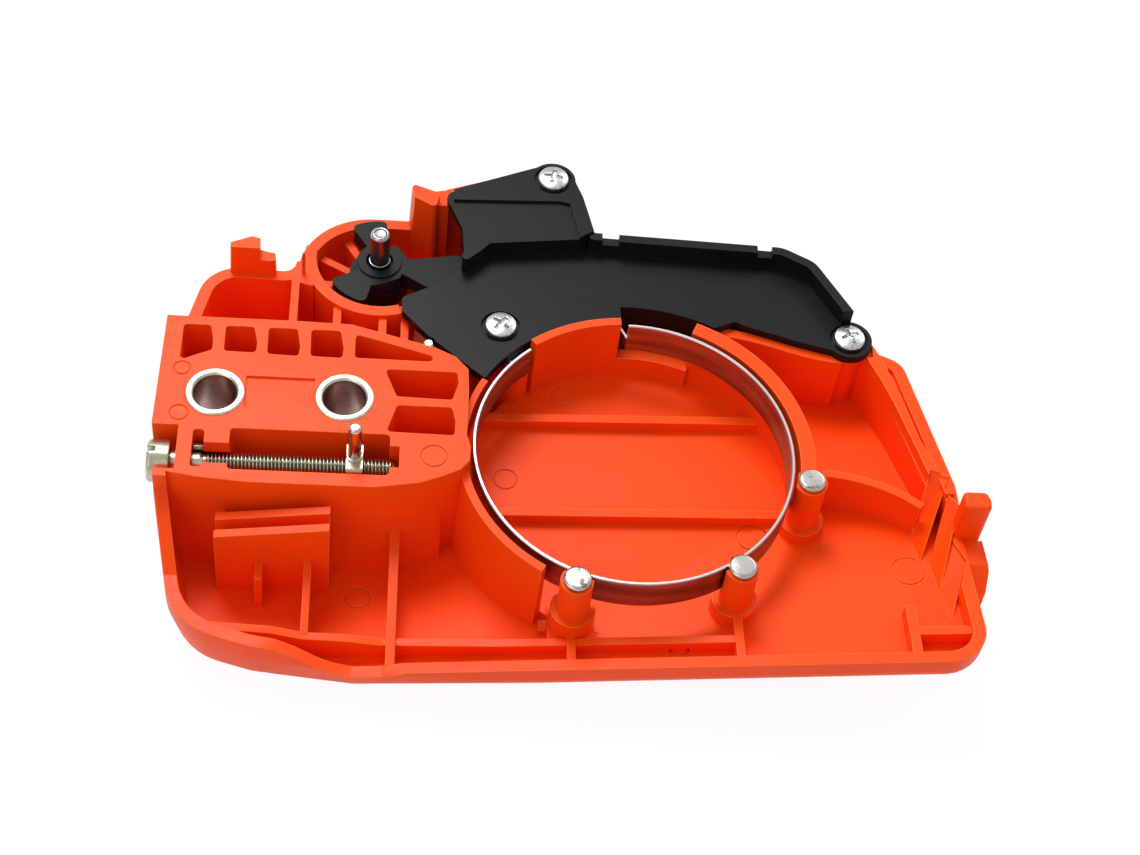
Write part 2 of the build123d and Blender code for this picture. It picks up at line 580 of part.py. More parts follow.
def band_pins():
    """Headed pins that hold the band down on its three posts."""
    pins = []
    for x, y, _ in PINS:
        head = disc((x, y), PIN_HEAD, 0.15, PIN_TOP)
        head = chamfer(head.edges().group_by(Axis.Z)[-1], 0.35)
        pins.append(head + disc((x, y), PIN_SHANK, -14.0, 0.15))
    return pins


def headed_pin(centre, radius, low, head_radius, head_low, head_high):
    head = chamfer(disc(centre, head_radius, head_low, head_high).edges().group_by(Axis.Z)[-1], 0.3)
    return head + disc(centre, radius, low, head_low)


def stud_bush(x):
    centre = (x, STUD_Y)
    top = BLOCK_TOP + BUSH_PROUD
    body = disc(centre, BUSH_FLANGE, BLOCK_TOP - 1.0, top) + disc(centre, BUSH_RADIUS, WELL_TOP, top)
    body = chamfer(body.edges().group_by(Axis.Z)[-1], 0.3)
    body = body - disc(centre, BUSH_BORE, WELL_TOP - 1, TALL)
    return body


# ----------------------------------------------------------------------- brake linkage
def sector_lobe(radius, start, end, low, high):
    """A lobe of the hub between two angles, its outer end on a circle about the hub axis."""
    middle = (start + end) / 2
    points = [(0, 0), polar((0, 0), 2 * radius, start), polar((0, 0), 2 * radius, middle),
              polar((0, 0), 2 * radius, end)]
    face = outline(points) & Circle(radius)
    face = fillet([v for v in face.vertices() if hypot(v.X, v.Y) > 1], 1.4)
    return Pos(HUB[0], HUB[1], 0) * raise_face(face, low, high)


def brake_hub():
    web = ((-63.4, 56.9), (-63.7, 53.4), (-63.0, 49.7), (-60.2, 47.4), (-56.7, 48.5), (-53.2, 50.3),
           (-51.5, 56.1), (-54.5, 60.6))
    body = prism(web, HUB_LOW, HUB_TOP, 1.2)
    for radius, start, end in ((12.9, 209, 257), (12.9, 83, 123), (20.0, -32, 10)):
        body = body + sector_lobe(radius, start, end, HUB_LOW, HUB_TOP)
    body = body + disc(HUB, 7.0, -12.6, HUB_LOW) + disc(HUB, 5.2, HUB_LOW, -3.7)
    dog = polar(HUB, 16.5, -3.1)
    inner, outer = polar(HUB, 14.5, -3.1), polar(HUB, 18.5, -3.1)
    body = body + rib(inner, outer, 3.0, LEVER_LOW - 0.3, HUB_LOW) + disc(dog, 1.5, LEVER_LOW - 0.3, HUB_LOW)
    return body - disc(HUB, 3.2, -5.7, 0) - disc(HUB, SHAFT_RADIUS + 0.05, -30, 0)


def hub_shaft():
    end = disc(HUB, SHAFT_END_RADIUS, SHAFT_SHOULDER, SHAFT_TOP)
    return chamfer(end.edges().group_by(Axis.Z)[-1], 0.6) + disc(HUB, SHAFT_RADIUS, -24.0, SHAFT_SHOULDER)


def knee_lever():
    body = disc(KNEE_PIVOT, 4.0, LEVER_LOW, LEVER_HIGH) + disc(KNEE_JOINT, 3.4, LEVER_LOW, LEVER_HIGH)
    body = body + rib(KNEE_PIVOT, KNEE_JOINT, 5.0, LEVER_LOW, LEVER_HIGH)
    body = body + disc(LEVER_TAIL, 2.0, LEVER_LOW, LEVER_HIGH)
    body = body + rib(KNEE_PIVOT, LEVER_TAIL, 4.0, LEVER_LOW, LEVER_HIGH)
    return body - disc(KNEE_PIVOT, 2.05, -20, 0) - disc(KNEE_JOINT, 1.6, -20, 0)


def knee_link():
    """Link with a round eye on the knee and a slotted eye on the slider."""
    body = disc(KNEE_JOINT, 3.4, LINK_LOW, LINK_HIGH) + disc(SLIDER_PIN, 3.6, LINK_LOW, LINK_HIGH)
    body = body + rib(KNEE_JOINT, SLIDER_PIN, 5.0, LINK_LOW, LINK_HIGH)
    run = hypot(SLIDER_PIN[0] - KNEE_JOINT[0], SLIDER_PIN[1] - KNEE_JOINT[1])
    back = [SLIDER_PIN[i] + (KNEE_JOINT[i] - SLIDER_PIN[i]) * 0.9 / run for i in (0, 1)]
    slot = disc(SLIDER_PIN, 1.8, -20, 0) + disc(back, 1.8, -20, 0) + rib(SLIDER_PIN, back, 3.6, -20, 0)
    return body - slot - disc(KNEE_JOINT, 1.65, -20, 0)


def spring_slider():
    """Yoke that hooks the band's moving end and carries the spring's front end."""
    body = block((-10.0, -1.5), (44.4, 55.0), (SLIDER_LOW, SLIDER_HIGH))
    body = body + rib((-9.5, 46.0), HOOK_PIN, 5.0, -12.4, SLIDER_HIGH) + disc(HOOK_PIN, 2.5, -12.4, SLIDER_HIGH)
    along = Pos(-1.6, SPRING_Y, SPRING_Z) * Rot(0, 90, 0)
    stand = (Align.CENTER, Align.CENTER, Align.MIN)
    body = body + along * Cylinder(SPRING_COIL + SPRING_WIRE, SPRING_START + 1.6, align=stand)
    body = body + along * Cylinder(2.9, 22.0, align=stand)
    return body - disc(HOOK_PIN, 1.5, -20, 0) - disc(SLIDER_PIN, 1.6, -20, 0)


def brake_spring():
    """Compression spring along X that pulls the band tight."""
    turns = 8
    pitch = (SPRING_END - SPRING_START - 2 * SPRING_WIRE) / turns
    path = Helix(pitch=pitch, height=pitch * turns, radius=SPRING_COIL)
    wire = sweep(Plane(origin=path @ 0, z_dir=path % 0) * Circle(SPRING_WIRE), path=path)
    return Pos(SPRING_START + SPRING_WIRE, SPRING_Y, SPRING_Z) * Rot(0, 90, 0) * wire


def spring_end_seat():
    plate = block((SPRING_END, SPRING_END + 2.7), (44.4, 55.8), (-18.2, -5.2))
    spigot = Pos(SPRING_END - 4.0, SPRING_Y, SPRING_Z) * Rot(0, 90, 0) * Cylinder(
        2.9, 4.5, align=(Align.CENTER, Align.CENTER, Align.MIN))
    return plate + spigot


def cover_locating_pin():
    pin = disc(LOCATING_PIN, 1.3, -20.0, -1.9)
    return chamfer(pin.edges().group_by(Axis.Z)[-1], 0.4)


# -------------------------------------------------------------------- chain tensioner
def along_screw(x, radius, length):
    """A cylinder on the tension screw's axis from x for length."""
    stand = (Align.CENTER, Align.CENTER, Align.MIN)
    return Pos(x, SCREW_Y, SCREW_Z) * Rot(0, 90, 0) * Cylinder(radius, length, align=stand)


def tension_screw():
    """Cheese-head screw, its thread drawn as ridges of the right pitch."""
    body = along_screw(-105.8, 4.7, 4.8)
    body = body - block((-107, -104.4), (SCREW_Y - 0.6, SCREW_Y + 0.6), (SCREW_Z - 6, SCREW_Z + 6))
    body = body + along_screw(-101.2, THREAD_RADIUS, 7.5)
    start, end = -93.8, -52.4
    core = THREAD_RADIUS - 0.45
    points = [(start, 0)]
    for ridge in range(int((end - start) / THREAD_PITCH)):
        points.append((start + ridge * THREAD_PITCH, core))
        points.append((start + (ridge + 0.5) * THREAD_PITCH, THREAD_RADIUS))
    points += [(end, core), (end, 0)]
    profile = make_face(Polyline(*[(x, 0, r) for x, r in points], close=True))
    thread = revolve(profile, Axis.X, 360)
    return body + Pos(0, SCREW_Y, SCREW_Z) * thread


def tension_screw_collar():
    """Split collar snapped in behind the inner wall, which keeps the screw from sliding."""
    ring = along_screw(-96.2, 4.2, 2.3) - along_screw(-97, 2.5, 4)
    return ring - block((-97, -93), (SCREW_Y - 1.6, SCREW_Y + 1.6), (SCREW_Z, SCREW_Z + 6))


def tension_carriage():
    body = block((CARRIAGE_X - 1.8, CARRIAGE_X + 1.8), (SCREW_Y - 4.2, SCREW_Y + 4.2), (-7.0, 2.4))
    body = fillet(body.edges().filter_by(Axis.X), 1.2)
    body = body - disc((CARRIAGE_X, SCREW_Y), PEG_FOOT, 0.4, TALL)
    return body - along_screw(CARRIAGE_X - 3, THREAD_RADIUS + 0.05, 6)


def tension_peg():
    """Peg that stands in the guide bar's hole, its foot pressed in the carriage above the screw."""
    centre = (CARRIAGE_X, SCREW_Y)
    peg = disc(centre, PEG_RADIUS, 3.0, 13.0)
    peg = chamfer(peg.edges().group_by(Axis.Z)[-1], 0.5)
    return peg + disc(centre, PEG_RADIUS + 0.35, 2.4, 3.0) + disc(centre, PEG_FOOT, 0.4, 2.4)


# ------------------------------------------------------------------------------- export
def all_nodes():
    return {
        "cover_housing": cover_housing(),
        "mechanism_cover": mechanism_cover(),
        "cover_screws": Compound(children=cover_screws()),
        "band_pins": Compound(children=band_pins()),
        "front_stud_bush": stud_bush(STUD_X[0]),
        "rear_stud_bush": stud_bush(STUD_X[1]),
        "brake_band": brake_band(),
        "band_anchor_pin": headed_pin(ANCHOR_PIN, 1.6, -20.0, 2.4, TONGUE_HIGH + 0.1, -4.1),
        "band_hook_pin": headed_pin(HOOK_PIN, 1.5, -12.4, 2.4, TONGUE_HIGH + 0.1, -4.1),
        "brake_hub": brake_hub(),
        "hub_shaft": hub_shaft(),
        "knee_lever": knee_lever(),
        "knee_pivot_pin": headed_pin(KNEE_PIVOT, 2.0, -22.0, 3.2, LEVER_HIGH + 0.2, -7.4),
        "knee_joint_pin": headed_pin(KNEE_JOINT, 1.6, LEVER_LOW, 2.6, LINK_HIGH + 0.2, -4.5),
        "knee_link": knee_link(),
        "slider_pin": headed_pin(SLIDER_PIN, 1.6, SLIDER_LOW, 2.9, LINK_HIGH + 0.2, -4.5),
        "spring_slider": spring_slider(),
        "brake_spring": brake_spring(),
        "spring_end_seat": spring_end_seat(),
        "tension_screw": tension_screw(),
        "tension_screw_collar": tension_screw_collar(),
        "tension_carriage": tension_carriage(),
        "tension_peg": tension_peg(),
        "cover_locating_pin": cover_locating_pin(),
    }


def to_part_frame(nodes):
    """Moves the assembly so that its origin is the middle of its box, on the rest face."""
    box = Compound(children=[copy_of(shape) for shape in nodes.values()]).bounding_box()
    middle = (box.min + box.max) / 2
    shift = Pos(-middle.X, -middle.Y, -box.min.Z)
    print("shift", [round(-middle.X, 3), round(-middle.Y, 3), round(-box.min.Z, 3)])
    return {name: shift * shape for name, shape in nodes.items()}


def copy_of(shape):
    return Pos(0, 0, 0) * shape


def main():
    os.makedirs("parts", exist_ok=True)
    for name, shape in to_part_frame(all_nodes()).items():
        export_step(shape, f"parts/{name}.step")


main()
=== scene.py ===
"""Finishes and fine pieces for a chainsaw's clutch cover with its chain brake.

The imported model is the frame. Its solids are carried over with smooth normals, and the turned,
threaded, wound and bent pieces are worked out again as finer surfaces in the same places.
"""

import json
from math import cos, radians, sin, tau

import bpy
import numpy as np
from mathutils import Euler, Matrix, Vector


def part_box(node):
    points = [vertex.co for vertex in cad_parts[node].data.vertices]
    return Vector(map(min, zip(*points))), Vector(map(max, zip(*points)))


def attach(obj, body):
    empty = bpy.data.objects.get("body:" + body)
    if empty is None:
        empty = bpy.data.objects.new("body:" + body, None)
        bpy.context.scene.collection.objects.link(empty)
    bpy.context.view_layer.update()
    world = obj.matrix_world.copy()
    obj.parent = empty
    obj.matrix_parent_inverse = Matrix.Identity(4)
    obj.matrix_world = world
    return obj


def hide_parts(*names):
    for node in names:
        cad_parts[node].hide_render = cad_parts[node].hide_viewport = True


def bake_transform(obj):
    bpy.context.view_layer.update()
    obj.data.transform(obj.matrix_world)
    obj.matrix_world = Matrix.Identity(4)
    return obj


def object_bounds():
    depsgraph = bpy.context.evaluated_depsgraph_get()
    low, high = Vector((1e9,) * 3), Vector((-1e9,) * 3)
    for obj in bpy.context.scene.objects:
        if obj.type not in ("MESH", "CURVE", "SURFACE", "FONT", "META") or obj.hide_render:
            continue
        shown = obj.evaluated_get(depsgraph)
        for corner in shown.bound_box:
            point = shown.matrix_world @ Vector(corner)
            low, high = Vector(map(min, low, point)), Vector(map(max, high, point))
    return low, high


bl_info = {
    "name": "Chainsaw clutch cover",
    "version": (1, 0, 0),
    "blender": (4, 5, 0),
    "location": "View3D > Sidebar > Clutch cover",
    "description": "Finishes and fine pieces for a clutch cover with chain brake",
    "category": "Object",
}

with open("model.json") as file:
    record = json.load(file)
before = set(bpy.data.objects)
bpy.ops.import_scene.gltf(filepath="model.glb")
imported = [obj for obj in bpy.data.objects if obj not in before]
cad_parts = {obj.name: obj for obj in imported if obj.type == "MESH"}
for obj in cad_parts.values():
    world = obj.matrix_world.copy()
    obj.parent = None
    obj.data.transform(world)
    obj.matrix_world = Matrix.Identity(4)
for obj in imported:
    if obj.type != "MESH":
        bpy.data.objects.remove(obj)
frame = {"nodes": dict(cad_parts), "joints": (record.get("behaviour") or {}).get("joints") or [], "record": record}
CAD_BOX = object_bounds()
JOINTS = {joint["name"]: joint for joint in frame["joints"]}
MOUNT_DIMS = {mount["name"]: mount["dims"] for mount in frame["record"]["mounts"]}
BODY_OF = {node: body for body, nodes in frame["record"]["behaviour"]["bodies"].items() for node in nodes}
MM = 0.001
# Dark colour of the painted shade in recesses and thread roots
RECESS_SHADE_COLOUR = (0.03, 0.025, 0.02, 1.0)
# Bright colour of the plated pieces' edges: worn-through bare metal, and a painted highlight
BARE_METAL_AND_HIGHLIGHT = (0.95, 0.95, 0.93, 1.0)
SCREW_REACH = 9 * MM   # farther across than any screw or pin, nearer than the next one
CAD_SHARP = 30.0       # degrees between faces above which a CAD edge shades as an edge


# ---------------------------------------------------------------------------- properties
def colour_property(name, description, default):
    return bpy.props.StringProperty(name=name, description=description, default=default, maxlen=7)


def length_property(name, description, millimetres):
    return bpy.props.FloatProperty(name=name, description=description, default=millimetres * MM,
                                   min=0.0, unit="LENGTH", precision=5)


class CoverColours(bpy.types.PropertyGroup):
    """Colours as sRGB hex values."""

    orange: colour_property("Orange nylon", "Colour of the moulded housing", "#F84A06")
    # Painted highlight: the paler colour mixed into the housing's outer edges
    orange_edge_highlight: colour_property("Orange edges", "Paler colour that moulded edges show", "#FF8A3E")
    black: colour_property("Black nylon", "Colour of the lid and the hub", "#141517")
    # Painted highlight: the paler colour mixed into the outer edges of the lid and the hub
    black_edge_highlight: colour_property("Black edges", "Rubbed edges of the black pieces", "#3C3D40")
    bright_zinc: colour_property("Bright zinc", "Plating of the lid's screws", "#DCE1E2")
    turned_steel: colour_property("Turned steel", "Pins and peg", "#CFCBC6")
    ground_steel: colour_property("Ground steel", "Shaft of the hub", "#B4B2B0")
    pale_zinc: colour_property("Pale zinc", "Plating of the stud bushes", "#E2E2D2")
    bore_shade_tone: colour_property("Bush bore", "Unplated bore of the stud bushes", "#BFA096")
    # Painted shade: the darker mauve-brown tone inside the stud bushes' bores
    band_steel: colour_property("Spring steel", "Brake band", "#C9BDBE")
    yellow_zinc: colour_property("Yellow zinc", "Tension screw and its collar", "#C9C7B0")
    carriage_zinc: colour_property("Carriage zinc", "Plating of the tension carriage", "#CFC3A8")
    pressed_zinc: colour_property("Pressed zinc", "Lever, link and spring seat", "#C4C6C6")
    sintered: colour_property("Sintered iron", "Slider of the brake", "#6B6B6C")
    spring_wire: colour_property("Spring wire", "Brake spring", "#8A8788")


class CoverSizes(bpy.types.PropertyGroup):
    """Sizes of the fine forms."""

    moulded_edge: length_property("Moulded edge", "Radius of the moulded edges", 0.35)
    grain: length_property("Mould grain", "Size of the grain on moulded faces", 0.5)
    thread_pitch: length_property("Thread pitch", "Pitch of the tension screw", 0.8)
    thread_depth: length_property("Thread depth", "Depth of the tension screw's thread", 0.45)
    recess_length: length_property("Cross recess", "Length of the cross recess in the lid's screws", 4.3)
    slot_width: length_property("Head slot", "Width of the slot in the tension screw's head", 1.4)
    band_thickness: length_property("Band thickness", "Thickness of the brake band", 0.8)
    turning: length_property("Turning marks", "Spacing of the turning marks on pin heads", 0.12)


class StudioSettings(bpy.types.PropertyGroup):
    """Camera and lamps."""

    lens: bpy.props.FloatProperty(name="Lens", description="Focal length of the camera in millimetres",
                                  default=68.66, min=1.0, unit="CAMERA")
    camera_place: bpy.props.FloatVectorProperty(name="Camera", description="Place of the camera", size=3,
                                                default=(-0.04072, -0.30346, 0.40953), subtype="TRANSLATION")
    camera_turn: bpy.props.FloatVectorProperty(
        name="Camera turn", description="Turn of the camera about X, Y and Z", size=3,
        default=(radians(37.417), radians(-5.276), radians(-0.904)), subtype="EULER")
    key_power: bpy.props.FloatProperty(name="Key lamp", description="Power of the key lamp in watts",
                                       default=6.0, min=0.0)
    fill_power: bpy.props.FloatProperty(name="Fill lamps", description="Power of each fill lamp in watts",
                                        default=1.3, min=0.0)
    sky: bpy.props.FloatProperty(name="Sky", description="Strength of the even light from all sides",
                                 default=0.55, min=0.0)


# ------------------------------------------------------------------------------- colours
def hex_colour(code):
    """Linear colour of an sRGB hex code: values under 0.04045 are divided by 12.92, others follow
    ((value + 0.055) / 1.055) to the power 2.4."""
    values = np.array([int(code[i:i + 2], 16) for i in (1, 3, 5)]) / 255
    linear = np.where(values <= 0.04045, values / 12.92, ((values + 0.055) / 1.055) ** 2.4)
    return (*linear.tolist(), 1.0)


# ------------------------------------------------------------------------- places from CAD
def node_points(node):
    """Corners of a CAD node's mesh, one row each, and its triangles as rows of corner numbers."""
    mesh = frame["nodes"][node].data
    points = np.empty(len(mesh.vertices) * 3, np.float32)
    mesh.vertices.foreach_get("co", points)
    mesh.calc_loop_triangles()
    corners = np.empty(len(mesh.loop_triangles) * 3, np.int32)
    mesh.loop_triangles.foreach_get("vertices", corners)
    return points.reshape(-1, 3).astype(float), corners.reshape(-1, 3)


def solid_boxes(node, reach):
    """Lowest and highest corner of each solid of a node whose upright solids stand apart by reach."""
    points, _ = node_points(node)
    boxes = []
    while len(points):
        near = np.hypot(points[:, 0] - points[0, 0], points[:, 1] - points[0, 1]) < reach
        boxes.append((points[near].min(0), points[near].max(0)))
        points = points[~near]
    return boxes


def middle(low, high):
    """Middle of a box."""
    return (np.array(low) + np.array(high)) / 2


# -------------------------------------------------------------------------- mesh building
def finish_piece(name, points, faces, node, material, sharp, bend=None):
    """A mesh object at the origin, smooth but for edges sharper than an angle, that stands for a node and
    rides on its body. A bend is (body, start, end), which is not used: a piece given one stays in place and rides
    on no body."""
    mesh = bpy.data.meshes.new(name)
    mesh.from_pydata(points.tolist(), [], faces.tolist())
    mesh.validate()
    mesh.polygons.foreach_set("use_smooth", np.ones(len(mesh.polygons), bool))
    mesh.set_sharp_from_angle(angle=radians(sharp))
    mesh.materials.append(material)
    piece = bpy.data.objects.new(name, mesh)
    bpy.context.scene.collection.objects.link(piece)
    weigh = piece.modifiers.new("Even normals", "WEIGHTED_NORMAL")
    weigh.keep_sharp = True
    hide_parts(node)
    if bend:
        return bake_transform(piece)
    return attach(piece, BODY_OF[node])


def merged(points, faces, grain=1e-6):
    """Corners nearer to each other than a grain become one, and faces that lose a side go."""
    _, first, place = np.unique(np.round(points / grain).astype(np.int64), axis=0,
                                return_index=True, return_inverse=True)
    faces = place.reshape(-1)[faces]
    whole = np.ones(len(faces), bool)
    for a, b in ((0, 1), (1, 2), (2, 0)):
        whole &= faces[:, a] != faces[:, b]
    return points[first], faces[whole]


def carried_over(node, material):
    """A CAD node's own solid with merged corners, so that its round faces shade smoothly."""
    points, faces = merged(*node_points(node))
    return finish_piece(f"{node}_finished", points, faces, node, material, CAD_SHARP)


def grid_faces(rows, columns):
    """Two triangles for each cell of a grid whose columns close on themselves."""
    row = np.arange(rows - 1)[:, None]
    column = np.arange(columns)[None, :]
    after = (column + 1) % columns
    a = row * columns + column
    b = row * columns + after
    c = (row + 1) * columns + after
    d = (row + 1) * columns + column
    return np.concatenate([np.stack([a, b, c], -1).reshape(-1, 3), np.stack([a, c, d], -1).reshape(-1, 3)])


def joined_piece(name, grids, node, material, sharp, bend=None):
    """One piece of closed skins. Each is a grid of rings, its rows from one end's middle to the other's, and
    is turned outward if its signed volume is negative."""
    points, faces, total = [], [], 0
    for grid in grids:
        some_points, some_faces = merged(grid.reshape(-1, 3), grid_faces(*grid.shape[:2]), grain=1e-7)
        corners = some_points[some_faces]
        if np.einsum("ij,ij->i", corners[:, 0], np.cross(corners[:, 1], corners[:, 2])).sum() < 0:
            some_faces = some_faces[:, ::-1]
        points.append(some_points)
        faces.append(some_faces + total)
        total += len(some_points)
    return finish_piece(name, np.concatenate(points), np.concatenate(faces), node, material, sharp, bend)


def eased(profile, radii, steps=5):
    """A profile of (radius, height) points whose corners are eased: each corner becomes the parabola
    (1-t)^2 A + 2t(1-t) P + t^2 B between the points A and B at the easing's distance along its sides."""
    profile = np.array(profile, float)
    radii = np.broadcast_to(np.array(radii, float), len(profile)).copy()
    out = [profile[:1]]
    t = np.linspace(0, 1, steps)[:, None]
    for before, corner, after, radius in zip(profile, profile[1:], profile[2:], radii[1:]):
        back, ahead = before - corner, after - corner
        reach = min(radius, 0.49 * np.linalg.norm(back), 0.49 * np.linalg.norm(ahead))
        a = corner + back / np.linalg.norm(back) * reach
        b = corner + ahead / np.linalg.norm(ahead) * reach
        out.append((1 - t) ** 2 * a + 2 * t * (1 - t) * corner + t ** 2 * b)
    out.append(profile[-1:])
    return np.concatenate(out)


def turned_grid(profile, columns=96):
    """A surface of revolution about Z: x = r cos a, y = r sin a, z = h for each (r, h) of the profile."""
    angle = np.arange(columns) * tau / columns
    r, h = profile[:, :1], profile[:, 1:]
    return np.stack([r * np.cos(angle), r * np.sin(angle), h + 0 * angle], -1)


def turned_piece(name, profile, place, node, material, columns=96):
    """A turned solid on the upright axis through a place."""
    grid = turned_grid(profile, columns) + np.array((place[0], place[1], 0))
    return joined_piece(name, [grid], node, material, sharp=40)


def step_up(x):
    """A smooth step from 0 to 1, 3x^2 - 2x^3 between."""
    x = np.clip(x, 0, 1)
    return x * x * (3 - 2 * x)


# ------------------------------------------------------------------------------ materials
def add_node(tree, kind, settings=None, **inputs):
    """Adds a node, sets its settings, and sets or links its inputs. Underscores stand for spaces."""
    made = tree.nodes.new("ShaderNode" + kind)
    for key, value in (settings or {}).items():
        setattr(made, key, value)
    for key, value in inputs.items():
        socket = made.inputs[int(key[2:])] if key.startswith("in") and key[2:].isdigit() else \
            made.inputs[key.replace("_", " ")]
        if isinstance(value, bpy.types.NodeSocket):
            tree.links.new(value, socket)
        else:
            socket.default_value = value
    return made


def new_material(name):
    material = bpy.data.materials.new(name)
    material.use_nodes = True
    material.node_tree.nodes.clear()
    return material, material.node_tree


def close_material(tree, shader):
    add_node(tree, "OutputMaterial", Surface=shader.outputs[0])


def shaded(base, factor):
    """A linear colour times a factor, or times one factor for each channel."""
    factors = factor if isinstance(factor, tuple) else (factor,) * 3
    return (*(min(1.0, c * k) for c, k in zip(base, factors)), 1.0)


def mixed(tree, factor, first, second):
    """Passes from the first colour to the second as the factor goes from 0 to 1."""
    return add_node(tree, "Mix", {"data_type": "RGBA"}, in0=factor, in6=first, in7=second).outputs[2]


def maths(tree, operation, first, second=0.0):
    return add_node(tree, "Math", {"operation": operation}, in0=first, in1=second).outputs[0]


def ramp(tree, value, stops):
    """A colour ramp through (position, colour) stops."""
    made = add_node(tree, "ValToRGB", Fac=value)
    elements = made.color_ramp.elements
    while len(elements) < len(stops):
        elements.new(1.0)
    for element, (position, colour) in zip(elements, stops):
        element.position = position
        element.color = colour
    return made.outputs["Color"]


def openness(tree, reach):
    """1 in the open and on outer edges, less in corners and creases within reach."""
    return add_node(tree, "AmbientOcclusion", {"samples": 4}, Distance=reach).outputs["AO"]


def edge_mask(tree, radius):
    """A softened normal, and a mask of outer edges: where it leans away from the true one, in the open."""
    soft = add_node(tree, "Bevel", {"samples": 6}, Radius=radius).outputs["Normal"]
    true = add_node(tree, "NewGeometry").outputs["Normal"]
    along = add_node(tree, "VectorMath", {"operation": "DOT_PRODUCT"}, in0=soft, in1=true).outputs["Value"]
    mask = add_node(tree, "MapRange", Value=along, From_Min=0.995, From_Max=0.80, To_Min=0.0, To_Max=1.0)
    open_side = add_node(tree, "MapRange", Value=openness(tree, 0.8 * MM), From_Min=0.80, From_Max=0.97)
    return soft, maths(tree, "MULTIPLY", mask.outputs["Result"], open_side.outputs["Result"])


def radial_distance(tree, place, centre):
    """Distance from the upright axis through the centre."""
    moved = add_node(tree, "VectorMath", {"operation": "SUBTRACT"}, in0=place, in1=tuple(centre))
    flat = add_node(tree, "VectorMath", {"operation": "MULTIPLY"}, in0=moved.outputs[0], in1=(1.0, 1.0, 0.0))
    return add_node(tree, "VectorMath", {"operation": "LENGTH"}, in0=flat.outputs[0]).outputs["Value"]


def moulded_nylon(name, colour, edge_highlight_colour, roughness, grain, edge, tint=0.06):
    """Glass-filled nylon from a polished mould: satin, faintly cloudy where the melt flowed, with a fine
    grain, small round edges with a painted highlight in a paler colour, and hair-thin scuffs."""
    material, tree = new_material(name)
    place = add_node(tree, "TexCoord").outputs["Object"]
    soft, mask = edge_mask(tree, edge)
    flow = add_node(tree, "TexNoise", Vector=place, Scale=1 / (30 * MM), Detail=3.0, Roughness=0.55)
    base = hex_colour(colour)
    body = ramp(tree, flow.outputs["Fac"], ((0.3, shaded(base, 1 - tint)), (0.7, shaded(base, 1 + tint))))
    # Painted highlight: outer edges in the open are mixed toward the paler edge colour
    edge_highlighted = mixed(tree, mask, body, hex_colour(edge_highlight_colour))
    fine = add_node(tree, "TexNoise", Vector=place, Scale=1 / grain, Detail=2.0, Roughness=0.5)
    stretched = add_node(tree, "Mapping", Vector=place, Scale=(1.0, 14.0, 14.0), Rotation=(0.0, 0.0, 0.5))
    scuffs = add_node(tree, "TexNoise", Vector=stretched.outputs["Vector"], Scale=1 / (12 * MM), Detail=4.0)
    rough = add_node(tree, "MapRange", Value=scuffs.outputs["Fac"], From_Min=0.35, From_Max=0.7,
                     To_Min=roughness - 0.03, To_Max=roughness + 0.05)
    bump = add_node(tree, "Bump", Strength=0.10, Distance=0.08 * MM, Height=fine.outputs["Fac"], Normal=soft)
    shader = add_node(tree, "BsdfPrincipled", Base_Color=edge_highlighted, Roughness=rough.outputs["Result"],
                      IOR=1.53, Specular_IOR_Level=0.15, Normal=bump.outputs["Normal"])
    close_material(tree, shader)
    return material


def plated_steel(name, colour, roughness, blotch_size=1.5 * MM, blotch=0.10, pits=0.15, recess_shade=0.0, bore=None):
    """Zinc or chromate on steel: crystalline blotches in tone, faint pitting, brighter edges of worn-through bare
    metal with a painted highlight. Painted shade darkens thread roots and recesses; a bore is (centre, radius,
    colour) of a hole with a painted shade tone of its own."""
    material, tree = new_material(name)
    place = add_node(tree, "TexCoord").outputs["Object"]
    soft, mask = edge_mask(tree, 0.15 * MM)
    blotches = add_node(tree, "TexNoise", Vector=place, Scale=1 / blotch_size, Detail=4.0, Roughness=0.6)
    base = hex_colour(colour)
    body = ramp(tree, blotches.outputs["Fac"], ((0.32, shaded(base, 1 - 2.5 * blotch)),
                                                (0.62, shaded(base, 1 + blotch))))
    if bore:
        # Painted shade: inside the bore the colour passes to the darker bore tone
        centre, radius, tone = bore
        far = radial_distance(tree, place, centre)
        within = add_node(tree, "MapRange", Value=far, From_Min=radius + 0.2 * MM, From_Max=radius + 0.1 * MM)
        body = mixed(tree, within.outputs["Result"], body, hex_colour(tone))
    if recess_shade:
        # Painted shade: recesses and thread roots, found by ambient occlusion, are darkened
        closed = add_node(tree, "MapRange", Value=openness(tree, 0.6 * MM), From_Min=0.95, From_Max=0.45,
                          To_Min=0.0, To_Max=recess_shade)
        body = mixed(tree, closed.outputs["Result"], body, RECESS_SHADE_COLOUR)
    # Outer edges are mixed toward bright bare metal: worn-through plating, and a painted highlight
    rubbed_and_highlit = mixed(tree, mask, body, BARE_METAL_AND_HIGHLIGHT)
    rough = add_node(tree, "MapRange", Value=blotches.outputs["Fac"], From_Min=0.3, From_Max=0.7,
                     To_Min=roughness + 0.10, To_Max=roughness - 0.03)
    grains = add_node(tree, "TexNoise", Vector=place, Scale=1 / (0.25 * MM), Detail=2.0)
    bump = add_node(tree, "Bump", Strength=pits, Distance=0.03 * MM, Height=grains.outputs["Fac"],
                    Normal=soft)
    shader = add_node(tree, "BsdfPrincipled", Base_Color=rubbed_and_highlit, Metallic=1.0,
                      Roughness=rough.outputs["Result"], Normal=bump.outputs["Normal"])
    close_material(tree, shader)
    return material


